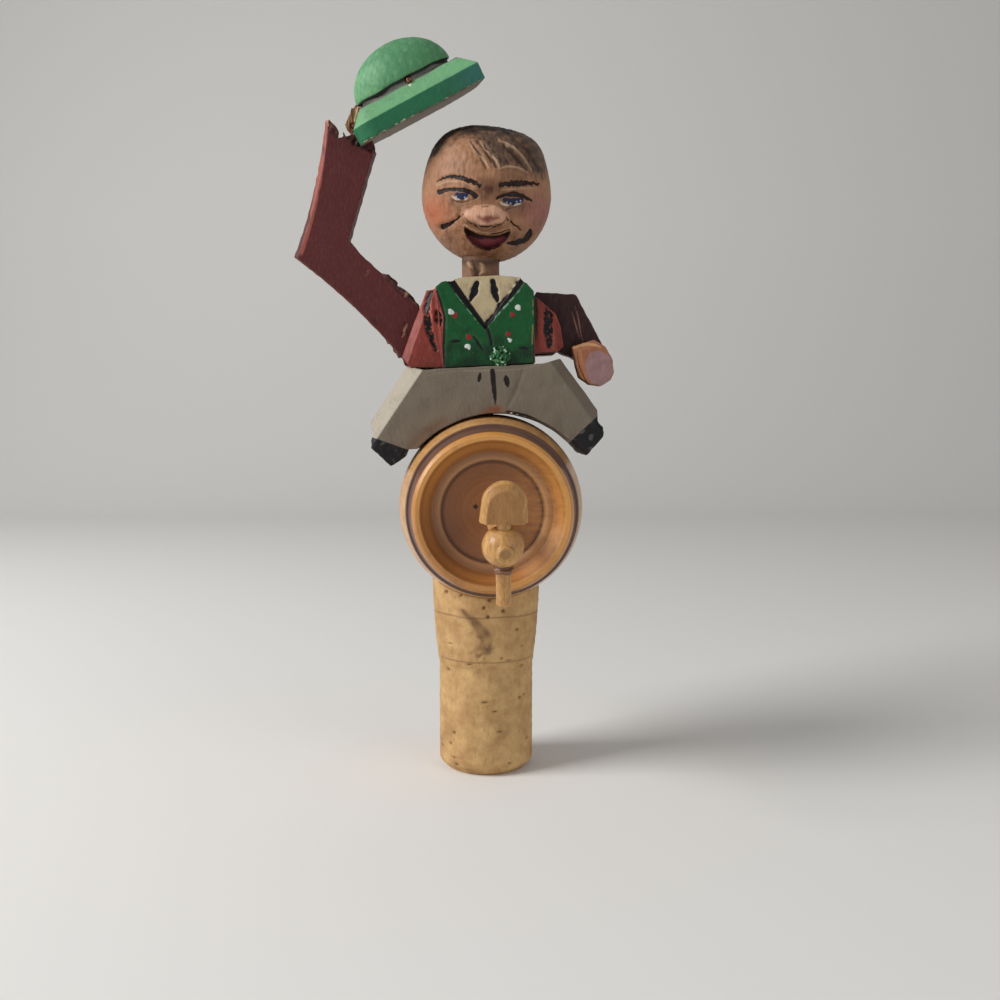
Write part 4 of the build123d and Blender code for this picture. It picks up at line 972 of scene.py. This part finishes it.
# Hand stub. What is left of the hand that broke off: a splinter of bare wood, still glued to the
# end of the brim. Its fibres stand up, and a little of the red paint is left on it.
STUB_CELL = 0.09
STUB_PALE = ((358, 107), (355, 120), (357, 134))
stub = blank_of("hand_stub", STUB_CELL, 1)
fibre = ripple(stub.points * (1, 1, 0.15), 0.5, 81)
pare(stub, 0.1 + 0.12 * np.clip(fibre, -1, 1))
pale = stroke(stub.seen, STUB_PALE, (1.5, 2, 2)) * (stub.facing[:, 0] > -0.3)
stub.marks = {"dark": held(-fibre * 0.8), "pale": pale,
              "red": np.clip(ripple(stub.points, 2.5, 82) - 0.2, 0, 0.8)}
splintered_wood = painted(
    "splintered_wood", (160, 118, 86),
    (("dark", (84, 56, 38)), ("red", (120, 62, 50)), ("pale", (206, 176, 140))),
    (176, 138, 104), (60, 38, 26), wear=0.4, grime=0.8, streaks=0.9, roughness=0.8)
finish_piece(stub, "hand_stub_splintered", "hat_arm", splintered_wood)


# Hat. Carved from one piece with a bevelled brim, straight in front, and painted mint green over
# a darker green edge. The band is a knife groove filled with grey black; its brim has lost paint.
HAT_CELL = 0.19
HAT_TURN = radians(28)
HAT_LEAN = radians(12)
BRIM_END = (-24.443, 0.0, 101.856)
BRIM_FRONT = -9.0
BRIM_EDGE = 3.2                   # height of the upright edge of the brim
BRIM_TOP = 6.0
BAND_TOP = 6.9
# Painted shade turns the upright edge of the brim a darker bluish green from here to its right end.
BRIM_SHADE_FROM = 18.0                # along the brim, from its end
HAT_CHIPS = ((371, 138), (384, 131), (396, 124), (404, 119), (413, 117), (447, 99), (470, 88))
CROWN_CHIP = (409, 84)


def in_own_frame(points, origin, turn, lean):
    """Points on a piece's own axes: less the origin, turned back about Y, then leaned back about X."""
    away = points - origin
    flat = np.array([[np.cos(turn), 0, np.sin(turn)], [0, 1, 0], [-np.sin(turn), 0, np.cos(turn)]])
    back = np.array([[1, 0, 0], [0, np.cos(lean), np.sin(lean)], [0, -np.sin(lean), np.cos(lean)]])
    return away @ flat.T @ back.T


hat = blank_of("hat", HAT_CELL)
own = in_own_frame(hat.points, np.array(BRIM_END), HAT_TURN, HAT_LEAN)
faces = in_own_frame(hat.facing, np.zeros(3), HAT_TURN, HAT_LEAN)
height = own[:, 2] + 0.12 * ripple(hat.points, 5, 91)
upright = held((BRIM_EDGE + 0.1 - height) / 0.2) * held(1.2 - np.abs(faces[:, 2]) * 2)
under = held((-faces[:, 2] - 0.6) / 0.2) * (height < 1)
crown = held((height - BAND_TOP) / 0.25)
band = held((height - BRIM_TOP + 0.25) / 0.25) * held((BAND_TOP + 0.35 - height) / 0.3)
lip = band * held((BRIM_TOP + 0.55 - height) / 0.2)
low_edge = held(1.0 - np.abs(height - 0.15) / 0.55) * (own[:, 1] < BRIM_FRONT + 2.0)
patches = patchy(hat.points * (0.6, 1, 1), 2.2, 92, 0.8, -0.1)
chips = low_edge * most(patches, dabs(hat.seen, HAT_CHIPS, 1.8, 1.5))
chips = most(chips, dot(hat.seen, CROWN_CHIP, 1.6) * (own[:, 1] < 0))
mottle = ripple(hat.points, 1.5, 93)
lit = crown * (0.2 * mottle + 0.45 * held(1.6 - own[:, 0] / 8))
lit += 0.5 * (1 - crown) * (faces[:, 2] > 0.3) * (1 - band)
# The bluish green toward the right end of the brim's upright edge is painted shade.
hat.marks = {"edge": upright, "bare": most(under, chips * 0.4), "band": band, "lip": lip * 0.9,
             "chip": chips, "speck": patchy(hat.points, 0.7, 94, 1, -0.5) * crown * 0.4,
             "brim_end_shade": upright * held((own[:, 0] - BRIM_SHADE_FROM) / 7) * 0.8, "light": held(lit) * 0.75}
pare(hat, 0.08 + 0.34 * band * (1 - lip) + 0.2 * chips + 0.015 * mottle)
chipped(hat, low_edge * 0.6, 0.3, 1.4, 95)
mint_hat = painted(
    "mint_hat", (82, 138, 96),
    (("light", (136, 190, 138), "wash"), ("speck", (66, 112, 82), "wash"), ("edge", (40, 108, 74)),
     ("brim_end_shade", (50, 104, 98), "wash"), ("bare", (116, 96, 76)), ("band", (44, 42, 40)),
     ("lip", (122, 118, 110)), ("chip", (206, 208, 178))),
    (160, 150, 120), (52, 66, 52), wear=0.5, grime=0.6, streaks=0.6, roughness=0.5)
finish_piece(hat, "hat_carved", "hat_arm", mint_hat)


# Hat splinter. A stub of bare wood left in the groove of the hat band, where a trimming that was
# glued in there broke away.
SPLINTER_CELL = 0.06
splinter = blank_of("hat_splinter", SPLINTER_CELL, 1)
pare(splinter, 0.05 + 0.05 * ripple(splinter.points, 0.6, 96))
splinter.marks = {"pale": patchy(splinter.points, 0.9, 97), "red": patchy(splinter.points, 0.9, 97, -1)}
finish_piece(splinter, "hat_splinter_stub", "hat_arm", splintered_wood)


# Lever arm. The other arm is a bent board on its own pin, painted the same maroon, with painted shade
# over its front where the torso keeps the light off it, two fine scratches and light worn edges.
SCRATCHES = (((574.5, 306), (578, 316), (580, 328), (584, 342)), ((572, 312), (575, 322), (579.5, 338)))
LEVER_RED = (583, 345)
lever = blank_of("lever_arm", ARM_CELL)
front = faces_viewer(lever, 0.5)
scratches = strokes(lever.seen, SCRATCHES, (0.8, 1.5, 0.8), 1) * front
top_edge = (lever.facing[:, 2] > 0.3) * 0.6
worn_top = top_edge * patchy(lever.points, 2, 101, 1, 0.2)
lever.marks = {"shade": front * 0.9, "salmon": most(scratches * 0.9, worn_top),
               "red": dot(lever.seen, LEVER_RED, 2.5, 2) * front}
pare(lever, 0.05 + 0.1 * scratches + 0.04 * ripple(lever.points * (1, 0.3, 1), 2, 102))
# Maroon paint, with painted shade laid over the front of the board.
shaded_maroon_board = painted(
    "shaded_maroon_board", (96, 48, 46),
    (("shade", (54, 31, 31)), ("salmon", (150, 102, 90)), ("red", (150, 44, 40))),
    (170, 112, 94), (36, 22, 22), wear=0.6, grime=0.6, streaks=0.6, roughness=0.45)
finish_piece(lever, "lever_arm_board", "lever_arm", shaded_maroon_board)


# Lever hand. A block glued on the front of that board and rounded by knife. Its face keeps a
# mauve pink paint, and the facets on its left and top are bare, handled wood.
HAND_CELL = 0.13
HAND_FACE = ((590, 352), (600, 350.5), (611, 357), (613.5, 371), (609, 383), (599, 388), (589, 380),
             (585, 366))
HAND_PALE = ((574, 348), (588, 344), (600, 347))
HAND_DARK = ((577, 352), (579, 366), (586, 381))
hand = blank_of("lever_hand", HAND_CELL)
face = inside(hand.seen, HAND_FACE, 2.5) * faces_viewer(hand, 0.3)
hand.marks = {"face": most(face, (hand.facing[:, 0] > 0.5) * 0.9),
              "pale": stroke(hand.seen, HAND_PALE, (2, 3, 2), 2) * (1 - face),
              "dark": stroke(hand.seen, HAND_DARK, (1, 1.5, 1.5), 1.5) * 0.8}
pare(hand, 0.08 + 0.05 * ripple(hand.points, 2.2, 111) + 0.1 * hand.marks["dark"])
handled_block = painted(
    "handled_block", (150, 98, 68),
    (("face", (146, 114, 114)), ("pale", (178, 136, 98)), ("dark", (80, 46, 30))),
    (196, 150, 110), (84, 50, 34), wear=0.5, grime=0.7, streaks=0.7, roughness=0.55)
finish_piece(hand, "lever_hand_block", "lever_arm", handled_block)


# Pins and dowels. Steel pins carry the arms, driven in from the back, and birch dowels join cork,
# barrel and legs. Only the pins' ends show, dull with age.
dull_steel, tree, shader = new_material("dull_steel", 0.45)
rust = span(tree, speckle(tree, stretched(tree), 2.0, 5), 0.45, 0.7, 0, 0.8)
feed(tree, shader.inputs["Base Color"], blend_colour(tree, rust, tone(150, 148, 144), tone(104, 78, 60)))
feed(tree, shader.inputs["Roughness"], span(tree, rust, 0, 1, 0.4, 0.8))
feed(tree, shader.inputs["Metallic"], span(tree, rust, 0, 1, 1.0, 0.3))
birch_dowel, tree, shader = new_material("birch_dowel", 0.7)
grain = place_effect(tree, wood_grain, Where=stretched(tree, (1.2, 1.2, 0.2)), Pale=tone(216, 180, 134),
                     Dark=tone(180, 140, 96), Pores=0.3)
feed(tree, shader.inputs["Base Color"], grain["Colour"])
raise_by(tree, shader, grain["Height"], 0.06)
for node in ("hat_arm_pin", "lever_arm_pin"):
    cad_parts[node].material_slots[0].material = dull_steel
for node in ("cork_peg", "seat_dowel"):
    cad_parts[node].material_slots[0].material = birch_dowel
